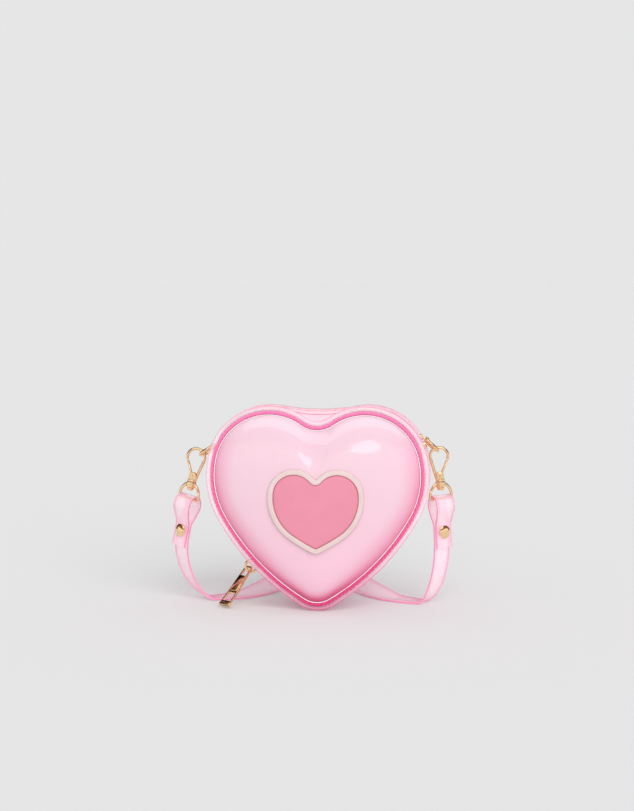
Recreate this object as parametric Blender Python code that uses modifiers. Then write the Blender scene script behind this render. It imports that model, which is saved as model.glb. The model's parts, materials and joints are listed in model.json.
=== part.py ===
import math

import bmesh
import bpy
from mathutils import Matrix, Vector

# The bag stands on its tip with its front towards -Y. Lengths are in metres, angles in degrees.

# Heart of the seam: arcs from the tip up the side, over the lobe and down into the cleft
tip_radius = 0.0200
flank_radius = 0.1730
shoulder_radius = 0.0631
lobe_radius = 0.0432
tip_turn = 31.4
flank_turn = 29.3
shoulder_turn = 44.4
seam_cleft_turn = 35.7

# Heart of the zip, half way through the bag: a little fuller, and nearly flat over the cleft
zip_rise = 0.0012
zip_flank_lift = 1.5
zip_cleft_turn = 10.0
tip_steps = 2
flank_steps = 6
shoulder_steps = 6
lobe_steps = 9
cleft_steps = 5

# Body
gusset_depth = 0.0450
gap = 0.0003
panel_thickness = 0.0012
dome_rise = 0.0130
dome_centre_share = 0.56
dome_edge_width = 0.0016
dome_power = 2.6
dome_root_power = 0.6
dome_ring_shares = (0.96, 0.88, 0.70, 0.45)
piping_radius = 0.0017
piping_reach = 0.0036
thread_radius = 0.0009
gusset_thickness = 0.0010
strip_row_shares = (None, 0.0, 0.5, 1.0)

# Zip
zip_mouth_half = 0.0050
tape_thickness = 0.0006
tape_drop = 0.0014
tape_half_width = 0.0076
tape_step = 0.0085
tooth_pitch = 0.0047
tooth_width = 0.0020
tooth_taper = 0.00025
tooth_height = 0.0020
tooth_tip = 0.0010
tooth_phase_shares = {"front": 0.25, "back": 0.75}
rail_inner = 0.0013
rail_width = 0.0011
open_row_shift = 0.0019
zip_foot_step = 2
zip_foot_notch = 0.0020
slider_distance = 0.0560
slider_travel = 0.0260
row_ramp = 0.0080
stop_length = 0.0030
stop_overlap = 0.0008
stop_lap = 0.0006

# Zip slider, pull ring and pull tab
slider_length = 0.0130
slider_half_width = 0.0044
slider_nose_half = 0.0030
slider_plate = 0.0013
slider_post = 0.0012
slider_post_length = 0.0030
bail_wire = 0.0008
bail_half_span = 0.0024
bail_rise = 0.0046
ring_radius = 0.0045
ring_wire = 0.0010
ring_steps = 24
ring_droop = 16.0
ring_hold = 45.0
tab_above = 0.0034
tab_below = 0.0342
tab_top_half = 0.0036
tab_bottom_half = 0.0052
tab_corner = 0.0012
tab_thickness = 0.0016
tab_border = 0.0013
tab_slot_end = 0.0060
tab_plate_end = 0.0205
tab_window_start = 0.0222
tab_window_end = 0.0300
tab_plate_rise = 0.0005
tab_lip_length = 0.0026
tab_lip_thickness = 0.0026
tab_fall = 32.5
tab_lean = 36.5

# Emblem on the front panel
emblem_tip_radius = 0.0058
emblem_flank_radius = 0.1543
emblem_shoulder_radius = 0.0373
emblem_lobe_radius = 0.0193
emblem_tip_turn = 27.0
emblem_flank_turn = 7.0
emblem_shoulder_turn = 62.0
emblem_cleft_turn = 50.0
emblem_tip_height = 0.0446
emblem_border_width = 0.0037
emblem_tip_crowd = 0.0006
emblem_border_height = 0.0024
emblem_heart_height = 0.0013
emblem_row_shares = (1.0, 0.66, 0.33)
emblem_centre_share = 0.58

# Ring brackets on the back gusset strip
bracket_back_share = 0.50
bracket_width = 0.0060
bracket_plate = 0.0010
bracket_foot = 0.0034
bar_lift = 0.0020
foot_gap = 0.0005
left_bracket_height = 0.1170
right_bracket_height = 0.1232
backing_thickness = 0.0010
screw_shank = 0.0007
screw_head = 0.0014
screw_head_height = 0.0009
screw_clearance = 0.0003
screw_sides = 12
drill_sides = 16
arch_steps = 8
backing_station_shares = (-1.0, -0.5, 0.0, 0.5, 1.0)

# D-rings
d_wire = 0.0012
d_half_width = 0.0072
d_reach = 0.0132
left_d_droop = 30.0
right_d_droop = 42.0
d_steps = 12

# Swivel snap hooks
hook_wire = 0.0011
hook_bow_radius = 0.0067
hook_bow_height = 0.0170
hook_foot = 0.0024
hook_nose_angle = -22.0
hook_arm_angle = 196.0
bow_steps = 12
left_bow_offset = 0.0036
right_bow_offset = 0.0010
hook_seat = 0.0003
left_hook_lean = 11.0
right_hook_lean = 3.0
cheek_half_gap = 0.0013
cheek_thickness = 0.0010
cheek_inner = 0.0030
cheek_outer = 0.0028
cheek_height = 0.0052
cheek_steps = 6
gate_pin_height = 0.0030
gate_pin_out = 0.0009
gate_pin_radius = 0.0006
gate_pin_head = 0.0013
gate_lug_radius = 0.0015
gate_wire = 0.0009
pin_sides = 12
flange_radius = 0.0034
flange_height = 0.0018
shank_radius = 0.0016
shank_head_radius = 0.0027
shank_head_height = 0.0023
turn_sides = 20

# Swivel eyes
eye_wire = 0.0011
eye_half_width = 0.0090
eye_half_height = 0.0060
collar_radius = 0.0038
collar_height = 0.0041
eye_corner = 0.0016
eye_corner_steps = 2
eye_steps = 14
eye_turn = 28.0

# Strap: it hangs from both eyes, lies on the ground and passes behind the bag
strap_width = 0.0150
strap_thickness = 0.0018
strap_turn = 42.0
strap_loop_radius = 0.0072
strap_flap = 0.0120
strap_step = 0.0040
loop_steps = 8
fall_steps = 8
rivet_drop = 0.0275
rivet_radius = 0.0050
rivet_dome = 0.0016
dome_shoulder_share = 0.75
rivet_post = 0.0014
rivet_back_radius = 0.0040
rivet_back_height = 0.0010
left_foot_x = 0.0820
left_foot_y = 0.0150
right_foot_x = 0.0760
right_foot_y = 0.0130
left_fall_handle = 0.0230
right_fall_handle = 0.0260
fall_reach_share = 0.55
fall_twist_share = 2.0
rear_reach = 0.0930
rear_spread = 0.0630
# Places of the strap on the ground: shares of spread and reach, and how far it stands on edge
rear_route_shares = (
    (-1.000, 0.240, 8.0), (-0.762, 0.398, 30.0), (-0.619, 0.580, 55.0), (-0.556, 0.774, 68.0),
    (-0.381, 0.946, 72.0), (-0.095, 1.000, 72.0), (0.159, 0.892, 72.0), (0.349, 0.688, 68.0),
    (0.508, 0.473, 50.0), (0.700, 0.320, 25.0), (0.905, 0.220, 6.0),
)

# Small lengths for comparing and merging points
merge_distance = 0.000001
turn_merge = 0.00001
nearly_nothing = 0.000000001

collection_name = "jelly_handbag"


def clear_scene():
    for old in list(bpy.data.objects):
        bpy.data.objects.remove(old, do_unlink=True)


clear_scene()
parts = bpy.data.collections.new(collection_name)
cutters = bpy.data.collections.new("cutters")
bpy.context.scene.collection.children.link(parts)
bpy.context.scene.collection.children.link(cutters)


# Materials: name, colour, roughness, metallic and alpha
def finish(name, colour, roughness, metallic=0.0, alpha=1.0):
    material = bpy.data.materials.new(name)
    material.use_nodes = True
    shader = material.node_tree.nodes["Principled BSDF"]
    shader.inputs["Base Color"].default_value = (*colour, 1.0)
    shader.inputs["Roughness"].default_value = roughness
    shader.inputs["Metallic"].default_value = metallic
    shader.inputs["Alpha"].default_value = alpha
    return material


jelly = finish("pink_jelly_pvc", (0.94, 0.66, 0.77), 0.18, alpha=0.75)
clear_jelly = finish("pale_jelly_pvc", (0.95, 0.76, 0.84), 0.15, alpha=0.65)
thread = finish("deep_pink_thread", (0.86, 0.20, 0.45), 0.5)
tape_cloth = finish("peach_zip_tape", (0.92, 0.62, 0.66), 0.7)
teeth_plastic = finish("pink_zip_teeth", (0.93, 0.64, 0.72), 0.35)
cream = finish("cream_soft_pvc", (0.93, 0.86, 0.82), 0.45)
rose = finish("rose_soft_pvc", (0.83, 0.30, 0.38), 0.45)
gold = finish("light_gold_plate", (0.90, 0.68, 0.42), 0.18, 1.0)


# Frames and parenting
def add_empty(name, place, parent=None):
    empty = bpy.data.objects.new(name, None)
    parts.objects.link(empty)
    empty.parent = parent
    empty.matrix_basis = place
    return empty


def world_of(item):
    place = item.matrix_basis.copy()
    while item.parent is not None:
        item = item.parent
        place = item.matrix_basis @ place
    return place


def frame(origin, x_axis, y_axis, z_axis):
    place = Matrix((x_axis, y_axis, z_axis)).transposed().to_4x4()
    place.translation = origin
    return place


def settle(item, material, parent, place=None):
    """Give an object its finish, and put it at a place of the bag's frame under its parent."""
    item.data.materials.clear()
    item.data.materials.append(material)
    item.parent = parent
    if place is None:
        place = world_of(parent)
        item.data.transform(place.inverted())
    item.matrix_basis = world_of(parent).inverted() @ place
    return item


def smooth(item, angle=35.0):
    item.data.shade_smooth()
    item.data.set_sharp_from_angle(angle=math.radians(angle))
    return item


# Meshes
def new_object(name, mesh, group=None):
    item = bpy.data.objects.new(name, mesh)
    (group or parts).objects.link(item)
    return item


def loft(name, rings, closed=False):
    """A solid through unlike sections: every ring is a closed loop of as many points."""
    mesh = bpy.data.meshes.new(name)
    count = len(rings[0])
    points = [point for ring in rings for point in ring]
    faces = []
    spans = len(rings) if closed else len(rings) - 1
    for row in range(spans):
        here = row * count
        there = (row + 1) % len(rings) * count
        for step in range(count):
            after = (step + 1) % count
            faces.append((here + step, here + after, there + after, there + step))
    if not closed:
        faces.append(tuple(reversed(range(count))))
        faces.append(tuple(range(len(points) - count, len(points))))
    mesh.from_pydata(points, [], faces)
    outward(mesh)
    return new_object(name, mesh)


def outward(mesh):
    work = bmesh.new()
    work.from_mesh(mesh)
    bmesh.ops.recalc_face_normals(work, faces=work.faces)
    work.to_mesh(mesh)
    work.free()


def skin_mesh(name, rows, flip, wrapped=True, centre=None):
    """An open surface through rows of points, closed round the heart when wrapped."""
    mesh = bpy.data.meshes.new(name)
    count = len(rows[0])
    points = [point for row in rows for point in row]
    faces = []
    for row in range(len(rows) - 1):
        for step in range(count if wrapped else count - 1):
            after = (step + 1) % count
            here = row * count
            faces.append((here + step, here + after, here + count + after, here + count + step))
    if centre is not None:
        points.append(centre)
        last = (len(rows) - 1) * count
        for step in range(count):
            faces.append((last + step, last + (step + 1) % count, len(points) - 1))
    if flip:
        faces = [tuple(reversed(face)) for face in faces]
    mesh.from_pydata(points, [], faces)
    mesh.update()
    return mesh


def shell(name, mesh, thickness):
    item = new_object(name, mesh)
    wall = item.modifiers.new("wall", "SOLIDIFY")
    wall.thickness = thickness
    wall.offset = -1.0
    wall.use_even_offset = True
    return item


def tube(name, points, radius, closed, resolution=1):
    """A round wire along points."""
    curve = bpy.data.curves.new(name, "CURVE")
    curve.dimensions = "3D"
    curve.bevel_depth = radius
    curve.bevel_resolution = resolution
    curve.use_fill_caps = True
    line = curve.splines.new("POLY")
    line.points.add(len(points) - 1)
    for spot, point in zip(line.points, points):
        spot.co = (*point, 1.0)
    line.use_cyclic_u = closed
    return new_object(name, curve)


def plate(name, outlines, thickness):
    """A flat outline in XY, with any holes, as thick as asked about its own plane."""
    curve = bpy.data.curves.new(name, "CURVE")
    curve.dimensions = "2D"
    curve.fill_mode = "BOTH"
    curve.extrude = thickness / 2
    for outline in outlines:
        line = curve.splines.new("POLY")
        line.points.add(len(outline) - 1)
        for spot, point in zip(line.points, outline):
            spot.co = (point[0], point[1], 0.0, 1.0)
        line.use_cyclic_u = True
    return new_object(name, curve)


def turned(name, profile, steps):
    """A solid of revolution about Z from a profile of (radius, height), top to bottom."""
    mesh = bpy.data.meshes.new(name)
    points = [(radius, 0.0, height) for radius, height in profile]
    edges = [(step, step + 1) for step in range(len(points) - 1)]
    mesh.from_pydata(points, edges, [])
    item = new_object(name, mesh)
    spin = item.modifiers.new("turn", "SCREW")
    spin.steps = steps
    spin.render_steps = steps
    spin.use_merge_vertices = True
    spin.merge_threshold = turn_merge
    return item


def drum(name, radius, length, sides=12, group=None):
    """A cylinder about Z, centred on its origin."""
    mesh = bpy.data.meshes.new(name)
    work = bmesh.new()
    bmesh.ops.create_cone(work, cap_ends=True, segments=sides, radius1=radius, radius2=radius, depth=length)
    work.to_mesh(mesh)
    work.free()
    return new_object(name, mesh, group)


def block(name, size, centre):
    mesh = bpy.data.meshes.new(name)
    work = bmesh.new()
    bmesh.ops.create_cube(work, size=1.0)
    bmesh.ops.scale(work, vec=size, verts=work.verts)
    bmesh.ops.translate(work, vec=centre, verts=work.verts)
    work.to_mesh(mesh)
    work.free()
    return new_object(name, mesh)


def as_mesh(item):
    """A mesh object with the modifiers and the matrix of another, which it takes the place of."""
    bpy.context.view_layer.update()
    graph = bpy.context.evaluated_depsgraph_get()
    mesh = bpy.data.meshes.new_from_object(item.evaluated_get(graph))
    mesh.transform(item.matrix_world)
    work = bmesh.new()
    work.from_mesh(mesh)
    bmesh.ops.remove_doubles(work, verts=work.verts, dist=merge_distance)
    bmesh.ops.recalc_face_normals(work, faces=work.faces)
    work.to_mesh(mesh)
    work.free()
    solid = new_object(item.name + "_mesh", mesh)
    name = item.name
    bpy.data.objects.remove(item, do_unlink=True)
    solid.name = name
    return solid


def merged(name, pieces, holes=()):
    """One solid: the union of all pieces, less the holes."""
    solids = [as_mesh(piece) for piece in pieces]
    drills = [as_mesh(hole) for hole in holes]
    body = solids[0]
    for operand, operation in [(item, "UNION") for item in solids[1:]] + [(item, "DIFFERENCE") for item in drills]:
        step = body.modifiers.new(operation.lower(), "BOOLEAN")
        step.operation = operation
        step.solver = "EXACT"
        step.object = operand
    result = as_mesh(body)
    for item in solids[1:] + drills:
        bpy.data.objects.remove(item, do_unlink=True)
    result.name = name
    result.data.name = name
    return result


def cut(target, cutter):
    cutter.hide_render = True
    cutter.display_type = "WIRE"
    step = target.modifiers.new("hole", "BOOLEAN")
    step.operation = "DIFFERENCE"
    step.solver = "EXACT"
    step.object = cutter


across_y = Vector((0.0, 1.0, 0.0))
upward = Vector((0.0, 0.0, 1.0))
forward = Vector((0.0, -1.0, 0.0))


# Heart outlines
def heart_arcs(radii, turns, cleft_turn):
    """Arcs of the right half from the tip: centre, radius, first heading, turn; the last one is hollow."""
    lobe_turn = 180.0 + cleft_turn - sum(turns)
    arcs = []
    heading = 0.0
    centre = Vector((0.0, radii[0]))
    for radius, turn, following in zip(radii, (*turns, lobe_turn), (*radii[1:], None)):
        arcs.append((centre, radius, heading, turn))
        heading += turn
        if following is not None:
            centre = centre + side(heading) * (radius - following)
    edge = centre + side(heading) * radii[-1]
    hollow = edge.x / math.sin(math.radians(cleft_turn))
    arcs.append((edge + side(heading) * hollow, -hollow, heading, -cleft_turn))
    return arcs


def side(heading):
    """The outward direction of an outline that runs at this heading."""
    angle = math.radians(heading)
    return Vector((math.sin(angle), -math.cos(angle)))


def arc_length(arc):
    return abs(arc[1] * math.radians(arc[3]))


def half_length(arcs):
    return sum(arc_length(arc) for arc in arcs)


def walk(arcs, distance):
    """The point and the outward direction this far from the tip along the right half."""
    for arc in arcs:
        length = arc_length(arc)
        if distance <= length or arc is arcs[-1]:
            heading = arc[2] + arc[3] * distance / length
            return arc[0] + side(heading) * arc[1], side(heading)
        distance -= length


def half_stations(arcs, steps, notch=0.0):
    """Distances from the tip to the cleft of the outline's points; a notch adds one below the zip's foot."""
    distances = [0.0]
    start = 0.0
    for arc, count in zip(arcs, steps):
        for step in range(1, count + 1):
            distances.append(start + arc_length(arc) * step / count)
        start += arc_length(arc)
    if notch > 0.0:
        distances.insert(foot_index - 1, distances[foot_index - 1] - notch)
    return distances


def round_heart(arcs, steps, notch=0.0):
    """All points of a heart as (point, outward, distance from the tip), from the tip up the right side."""
    half = [(*walk(arcs, distance), distance) for distance in half_stations(arcs, steps, notch)]
    mirrored = [(flip_x(point), flip_x(out), -distance) for point, out, distance in half[1:-1]]
    return half + list(reversed(mirrored))


def flip_x(vector):
    return Vector((-vector.x, vector.y))


bag_steps = (tip_steps, flank_steps, shoulder_steps, lobe_steps, cleft_steps)
foot_index = tip_steps + zip_foot_step + 1
bag_turns = (tip_turn, flank_turn, shoulder_turn)
seam_radii = (tip_radius, flank_radius, shoulder_radius, lobe_radius)
seam_arcs = heart_arcs(seam_radii, bag_turns, seam_cleft_turn)
zip_radii = tuple(radius + zip_rise for radius in seam_radii)
zip_turns = (tip_turn, flank_turn + zip_flank_lift, shoulder_turn - zip_flank_lift)
zip_arcs = heart_arcs(zip_radii, zip_turns, zip_cleft_turn)
seam_heart = round_heart(seam_arcs, bag_steps, zip_foot_notch)
zip_heart = round_heart(zip_arcs, bag_steps, zip_foot_notch)
zip_stations = half_stations(zip_arcs, bag_steps, zip_foot_notch)
zip_base = piping_reach - zip_rise
zip_length = half_length(zip_arcs)

rim_y = gusset_depth / 2
root_offset = -dome_edge_width


def in_space(point, y, base=piping_reach):
    return Vector((point.x, y, point.y + base))


def seam_ring(offset, y):
    return [in_space(point + out * offset, y) for point, out, _ in seam_heart]


# The gusset's outer skin runs level under the piping, and from there straight to the zip
strip_bend = rim_y - panel_thickness / 2 - piping_radius - gap
gusset_start = piping_reach - 2 * piping_radius - gap


def gusset_point(index, depth):
    """A point of the skin at a station of the heart, this far from the mid-plane."""
    seam_point, seam_out, _ = seam_heart[index]
    seam_spot = in_space(seam_point + seam_out * gusset_start, depth)
    share = 1.0 - min(depth / strip_bend, 1.0)
    return seam_spot.lerp(in_space(zip_heart[index][0], depth, zip_base), share)


def zip_spot(distance):
    """Point and outward direction on the zip's line, at a distance from the cleft, left negative."""
    point, out = walk(zip_arcs, zip_length - abs(distance))
    if distance < 0.0:
        point = flip_x(point)
        out = flip_x(out)
    return in_space(point, 0.0, zip_base), Vector((out.x, 0.0, out.y))


zip_reach = zip_length - zip_stations[foot_index]
slider_place = zip_length - slider_distance


# Bodies of the bag: the back is the base, the front half swings about the tip
bag = add_empty("handbag", Matrix.Identity(4))
front_half = add_empty("front_half", Matrix.Translation((0.0, 0.0, zip_base)), bag)
halves = {"front": (front_half, -1.0), "back": (bag, 1.0)}


# Domed panels
def heart_reach(direction):
    """Distance from the dome's centre to its edge in a direction."""
    edge = [point + out * root_offset for point, out, _ in seam_heart]
    best = None
    for first, second in zip(edge, edge[1:] + edge[:1]):
        a = first - dome_centre
        b = second - dome_centre
        cross = direction.x * (b.y - a.y) - direction.y * (b.x - a.x)
        if abs(cross) < nearly_nothing ** 2:
            continue
        along = (a.x * (b.y - a.y) - a.y * (b.x - a.x)) / cross
        share = (a.x * direction.y - a.y * direction.x) / cross
        if along > 0.0 and -turn_merge <= share <= 1.0 + turn_merge:
            best = along if best is None else max(best, along)
    return best


def dome_height(share):
    return dome_rise * (1.0 - share ** dome_power) ** dome_root_power


dome_centre = Vector((0.0, max(point.y for point, _, _ in seam_heart) * dome_centre_share))


def dome_at(point):
    """Height of the dome over the rim plane at a point of the heart's plane."""
    away = point - dome_centre
    if away.length < nearly_nothing:
        return dome_rise
    share = min(away.length / heart_reach(away.normalized()), 1.0)
    return dome_height(share)


def make_panel(name, parent, sign):
    rows = [seam_ring(0.0, sign * rim_y), seam_ring(root_offset, sign * rim_y)]
    for share in dome_ring_shares:
        row = []
        for point, out, _ in seam_heart:
            edge = point + out * root_offset
            spot = dome_centre.lerp(edge, share)
            row.append(in_space(spot, sign * (rim_y + dome_height(share))))
        rows.append(row)
    centre = in_space(dome_centre, sign * (rim_y + dome_rise))
    mesh = skin_mesh(name, rows, sign > 0.0, centre=centre)
    panel = smooth(shell(name, mesh, panel_thickness), 50.0)
    return settle(panel, clear_jelly, parent)


for half, (parent, sign) in halves.items():
    make_panel(half + "_panel", parent, sign)


# Piping and seam thread round both rims
piping_offset = piping_reach - piping_radius
piping_back = panel_thickness / 2
thread_offset = -thread_radius / 2

for half, (parent, sign) in halves.items():
    piping = tube(half + "_piping", seam_ring(piping_offset, sign * (rim_y - piping_back)), piping_radius, True)
    settle(piping, jelly, parent)
    thread_y = sign * (rim_y + gap + thread_radius)
    stitching = tube(half + "_seam_thread", seam_ring(thread_offset, thread_y), thread_radius, True, 0)
    settle(stitching, thread, parent)


# Gusset strips: they stop at the mouth of the zip, and meet at the mid-plane below it
strip_outer = rim_y - panel_thickness - gap


def mouth_depth(index):
    if abs(zip_heart[index][2]) > zip_stations[foot_index] - merge_distance:
        return zip_mouth_half
    return gap / 2


def make_strip(name, parent, sign):
    rows = []
    count = len(zip_heart)
    for share in strip_row_shares:
        row = []
        for index in range(count):
            depth = strip_outer
            if share is not None:
                depth = strip_bend + (mouth_depth(index) - strip_bend) * share
            spot = gusset_point(index, depth)
            spot.y *= sign
            row.append(spot)
        rows.append(row)
    mesh = skin_mesh(name, rows, sign < 0.0)
    strip = smooth(shell(name, mesh, gusset_thickness), 50.0)
    return settle(strip, clear_jelly, parent)


strips = {half: make_strip(half + "_gusset", parent, sign) for half, (parent, sign) in halves.items()}


# Zip tapes and teeth
def row_shift(distance):
    """How far a row of teeth stands back from the other, where the slider has room to run."""
    start = slider_travel + slider_length / 2 + row_ramp - slider_place
    share = (start - distance) / row_ramp
    return open_row_shift * min(max(share, 0.0), 1.0)


def frange(first, last, step):
    count = max(int(round((last - first) / step)), 1)
    return [first + (last - first) * turn / count for turn in range(count + 1)]


tooth_sink = tape_drop + (tape_thickness - tooth_height) / 2


def skin_drop(distance, depth):
    """How far the skin has fallen below the zip's line at a depth, along the line's outward direction."""
    away = zip_length - abs(distance)
    index = max(step for step, station in enumerate(zip_stations[:-1]) if station <= away + merge_distance)
    share = (away - zip_stations[index]) / (zip_stations[index + 1] - zip_stations[index])
    skin = gusset_point(index, depth).lerp(gusset_point(index + 1, depth), share)
    point, out = walk(zip_arcs, away)
    return (in_space(point, depth, zip_base) - skin).dot(Vector((out.x, 0.0, out.y)))


def zip_section(distance, sign, corners):
    """A ring of points across the zip, from (distance to the mid-plane, depth below the zip's line) pairs."""
    spot, out = zip_spot(distance)
    return [spot - out * sink + across_y * sign * depth for depth, sink in corners]


def tape_corners(distance, inner):
    """The tape lies under the strip's skin, and is as far below it where the skin slopes."""
    corners = []
    for level, depths in ((tape_drop, (inner, tape_half_width)), (tape_base, (tape_half_width, inner))):
        for depth in depths:
            drop = skin_drop(distance, depth)
            corners.append((depth, drop + level * math.hypot(1.0, drop / depth)))
    return corners


def box_corners(near, far, top, bottom):
    return ((near, top), (far, top), (far, bottom), (near, bottom))


tape_base = tape_drop + tape_thickness
tooth_base = tooth_sink + tooth_height
tape_edge = rail_inner + rail_width + gap
tooth_count = int((2 * zip_reach - 2 * stop_length - 2 * gap) / tooth_pitch)
tooth_row_end = zip_reach - stop_length - gap


def make_tape(name, parent, sign):
    rings = []
    for distance in frange(-zip_reach, zip_reach, tape_step):
        inner = tape_edge + row_shift(distance - tape_step)
        rings.append(zip_section(distance, sign, tape_corners(distance, inner)))
    return settle(loft(name, rings), tape_cloth, parent)


def make_teeth(name, parent, sign, phase):
    rings = []
    first = -tooth_count * tooth_pitch / 2
    for turn in range(tooth_count):
        middle = first + (turn + phase) * tooth_pitch
        for offset, near in ((-tooth_width / 2, rail_inner), (-tooth_width / 2 + tooth_taper, -tooth_tip),
                             (tooth_width / 2 - tooth_taper, -tooth_tip), (tooth_width / 2, rail_inner)):
            distance = middle + offset
            shift = row_shift(distance)
            corners = box_corners(near + shift, rail_inner + rail_width + shift, tooth_sink, tooth_base)
            rings.append(zip_section(distance, sign, corners))
    return settle(loft(name, rings), teeth_plastic, parent)


for half, (parent, sign) in halves.items():
    make_tape(half + "_zip_tape", parent, sign)
    make_teeth(half + "_zip_teeth", parent, sign, tooth_phase_shares[half])


# Stops at both feet of the zip: each fills the space between the tapes and laps over the back one
for side_name, sign in (("left", -1.0), ("right", 1.0)):
    stop_top = tape_drop - gap - stop_lap
    stop_far = rail_inner + rail_width
    stop_corners = (
        (-stop_far, stop_top), (tape_edge + stop_overlap, stop_top), (tape_edge + stop_overlap, tape_drop - gap),
        (stop_far, tape_drop - gap), (stop_far, tape_base), (-stop_far, tape_base),
    )
    shift_first = tooth_row_end + gap
    rings = []
    for distance in (shift_first, shift_first + stop_length):
        rings.append(zip_section(sign * distance, 1.0, stop_corners))
    settle(loft("zip_" + side_name + "_stop", rings), teeth_plastic, bag)


# Zip slider on the left flank: it turns about the flank's centre
def moved(item, place):
    item.matrix_basis = place
    return item


def mirrored_outline(points):
    """A closed outline from its upper half, taken along X."""
    return list(points) + [(x, -y) for x, y in reversed(points)]


slider_spot, slider_out = zip_spot(-slider_place)
slider_up = across_y.cross(slider_out)
slider_frame = frame(slider_spot, slider_up, across_y, slider_out)
flank_centre = in_space(flip_x(zip_arcs[1][0]), 0.0, zip_base)
slider_pivot = add_empty("slider_path", frame(flank_centre, slider_up, across_y, slider_out), bag)

slider_half = slider_length / 2
slider_sides = mirrored_outline([
    (-slider_half, slider_nose_half), (-slider_half + slider_plate, slider_half_width),
    (slider_plate / 2, slider_half_width), (slider_half - slider_plate, slider_nose_half),
    (slider_half, slider_nose_half / 2),
])
upper_level = gap - tooth_sink + slider_plate / 2
lower_level = -tooth_base - gap - slider_plate / 2
bail_level = upper_level + slider_plate / 2 + bail_rise
post_height = upper_level - lower_level
bail_corner = bail_rise / 4
bail_line = [
    Vector((0.0, -bail_half_span, upper_level)), Vector((0.0, -bail_half_span, bail_level - bail_corner)),
    Vector((0.0, -bail_half_span + bail_corner, bail_level)), Vector((0.0, bail_half_span - bail_corner, bail_level)),
    Vector((0.0, bail_half_span, bail_level - bail_corner)), Vector((0.0, bail_half_span, upper_level)),
]
slider_pieces = [
    moved(plate("slider_top", [slider_sides], slider_plate), Matrix.Translation((0.0, 0.0, upper_level))),
    moved(plate("slider_base", [slider_sides], slider_plate), Matrix.Translation((0.0, 0.0, lower_level))),
    block("slider_web", (slider_post_length, slider_post, post_height), (0.0, 0.0, (upper_level + lower_level) / 2)),
    tube("slider_bail", bail_line, bail_wire, False, 2),
]
slider = merged("zip_slider", slider_pieces)
slider.data.transform(slider_frame)
settle(slider, gold, slider_pivot)


# Pull ring through the bail, and the framed tab that hangs from it and rests by the floor
def in_plane(angle):
    """A direction of the XZ plane, this far below level on the left."""
    turn = math.radians(angle)
    return Vector((-math.cos(turn), 0.0, -math.sin(turn)))


def ring_points(radius, count, centre):
    points = []
    for step in range(count):
        turn = math.tau * step / count
        points.append(centre + Vector((math.cos(turn) * radius, 0.0, math.sin(turn) * radius)))
    return points


bail_spot = slider_spot + slider_out * bail_level
ring_offset = in_plane(ring_droop) * (ring_radius - ring_wire - bail_wire - gap)
ring_place = Matrix.Translation(bail_spot)
pull_ring = tube("pull_ring", ring_points(ring_radius, ring_steps, ring_offset), ring_wire, True, 2)
settle(pull_ring, gold, slider, ring_place)

fall_turn = math.radians(tab_fall)
lean_turn = math.radians(tab_lean)
tab_down = Vector((-math.sin(fall_turn) * math.cos(lean_turn), -math.sin(lean_turn),
                   -math.cos(fall_turn) * math.cos(lean_turn)))
tab_side = tab_down.cross(upward).normalized() * -1.0
tab_origin = bail_spot + ring_offset + in_plane(ring_hold) * ring_radius
tab_frame = frame(tab_origin, tab_side, -tab_down, tab_side.cross(-tab_down))


def tab_half(height):
    """Half width of the tab at a height over its hinge."""
    share = (tab_above - height) / (tab_above + tab_below)
    return tab_top_half + (tab_bottom_half - tab_top_half) * share


def tab_hole(top, bottom):
    upper = tab_half(top) - tab_border
    lower = tab_half(bottom) - tab_border
    return [(-upper, top), (upper, top), (lower, bottom), (-lower, bottom)]


tab_outline = [
    (-tab_half(tab_above) + tab_corner, tab_above), (tab_half(tab_above) - tab_corner, tab_above),
    (tab_half(tab_above), tab_above - tab_corner), (tab_bottom_half, -tab_below),
    (-tab_bottom_half, -tab_below), (-tab_half(tab_above), tab_above - tab_corner),
]
tab_holes = [tab_hole(tab_above - tab_border, -tab_slot_end), tab_hole(-tab_window_start, -tab_window_end)]
raised_half = tab_half(-tab_slot_end)
raised_length = tab_plate_end - tab_slot_end
raised_centre = (0.0, -(tab_plate_end + tab_slot_end) / 2, 0.0)
lip_centre = (0.0, -tab_below + tab_lip_length / 2, 0.0)
tab_pieces = [
    plate("tab_frame", [tab_outline, *tab_holes], tab_thickness),
    block("tab_plate", (2 * raised_half - tab_border, raised_length, tab_thickness + 2 * tab_plate_rise), raised_centre),
    block("tab_lip", (2 * tab_bottom_half, tab_lip_length, tab_lip_thickness), lip_centre),
]
pull_tab = merged("pull_tab", tab_pieces)
settle(pull_tab, gold, pull_ring, tab_frame)


# Heart emblem: a raised border with a heart inside it, following the front panel
emblem_steps = (2, 2, 6, 8, 3)
emblem_radii = (emblem_tip_radius, emblem_flank_radius, emblem_shoulder_radius, emblem_lobe_radius)
emblem_turns = (emblem_tip_turn, emblem_flank_turn, emblem_shoulder_turn)
emblem_arcs = heart_arcs(emblem_radii, emblem_turns, emblem_cleft_turn)
emblem_lift = Vector((0.0, emblem_tip_height - piping_reach))


def inset_outline(inset):
    """The emblem's outline moved inwards; near the tip it keeps to the flank's arc, so it stays simple."""
    centre, radius = emblem_arcs[1][0], emblem_arcs[1][1] - inset
    half = []
    for index, station in enumerate(half_stations(emblem_arcs, emblem_steps)):
        point, out = walk(emblem_arcs, station)
        point = point - out * inset
        least = emblem_tip_crowd * index
        if inset > 0.0 and point.x < least and index <= emblem_steps[0]:
            point = Vector((least, centre.y - math.sqrt(radius ** 2 - (least - centre.x) ** 2)))
        half.append(point)
    half[-1].x = 0.0
    return half + [flip_x(point) for point in reversed(half[1:-1])]


def emblem_rows(outlines, height):
    rows = []
    for outline in outlines:
        row = []
        for point in outline:
            spot = point + emblem_lift
            row.append(in_space(spot, -(rim_y + dome_at(spot) + gap + height)))
        rows.append(row)
    return rows


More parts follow.
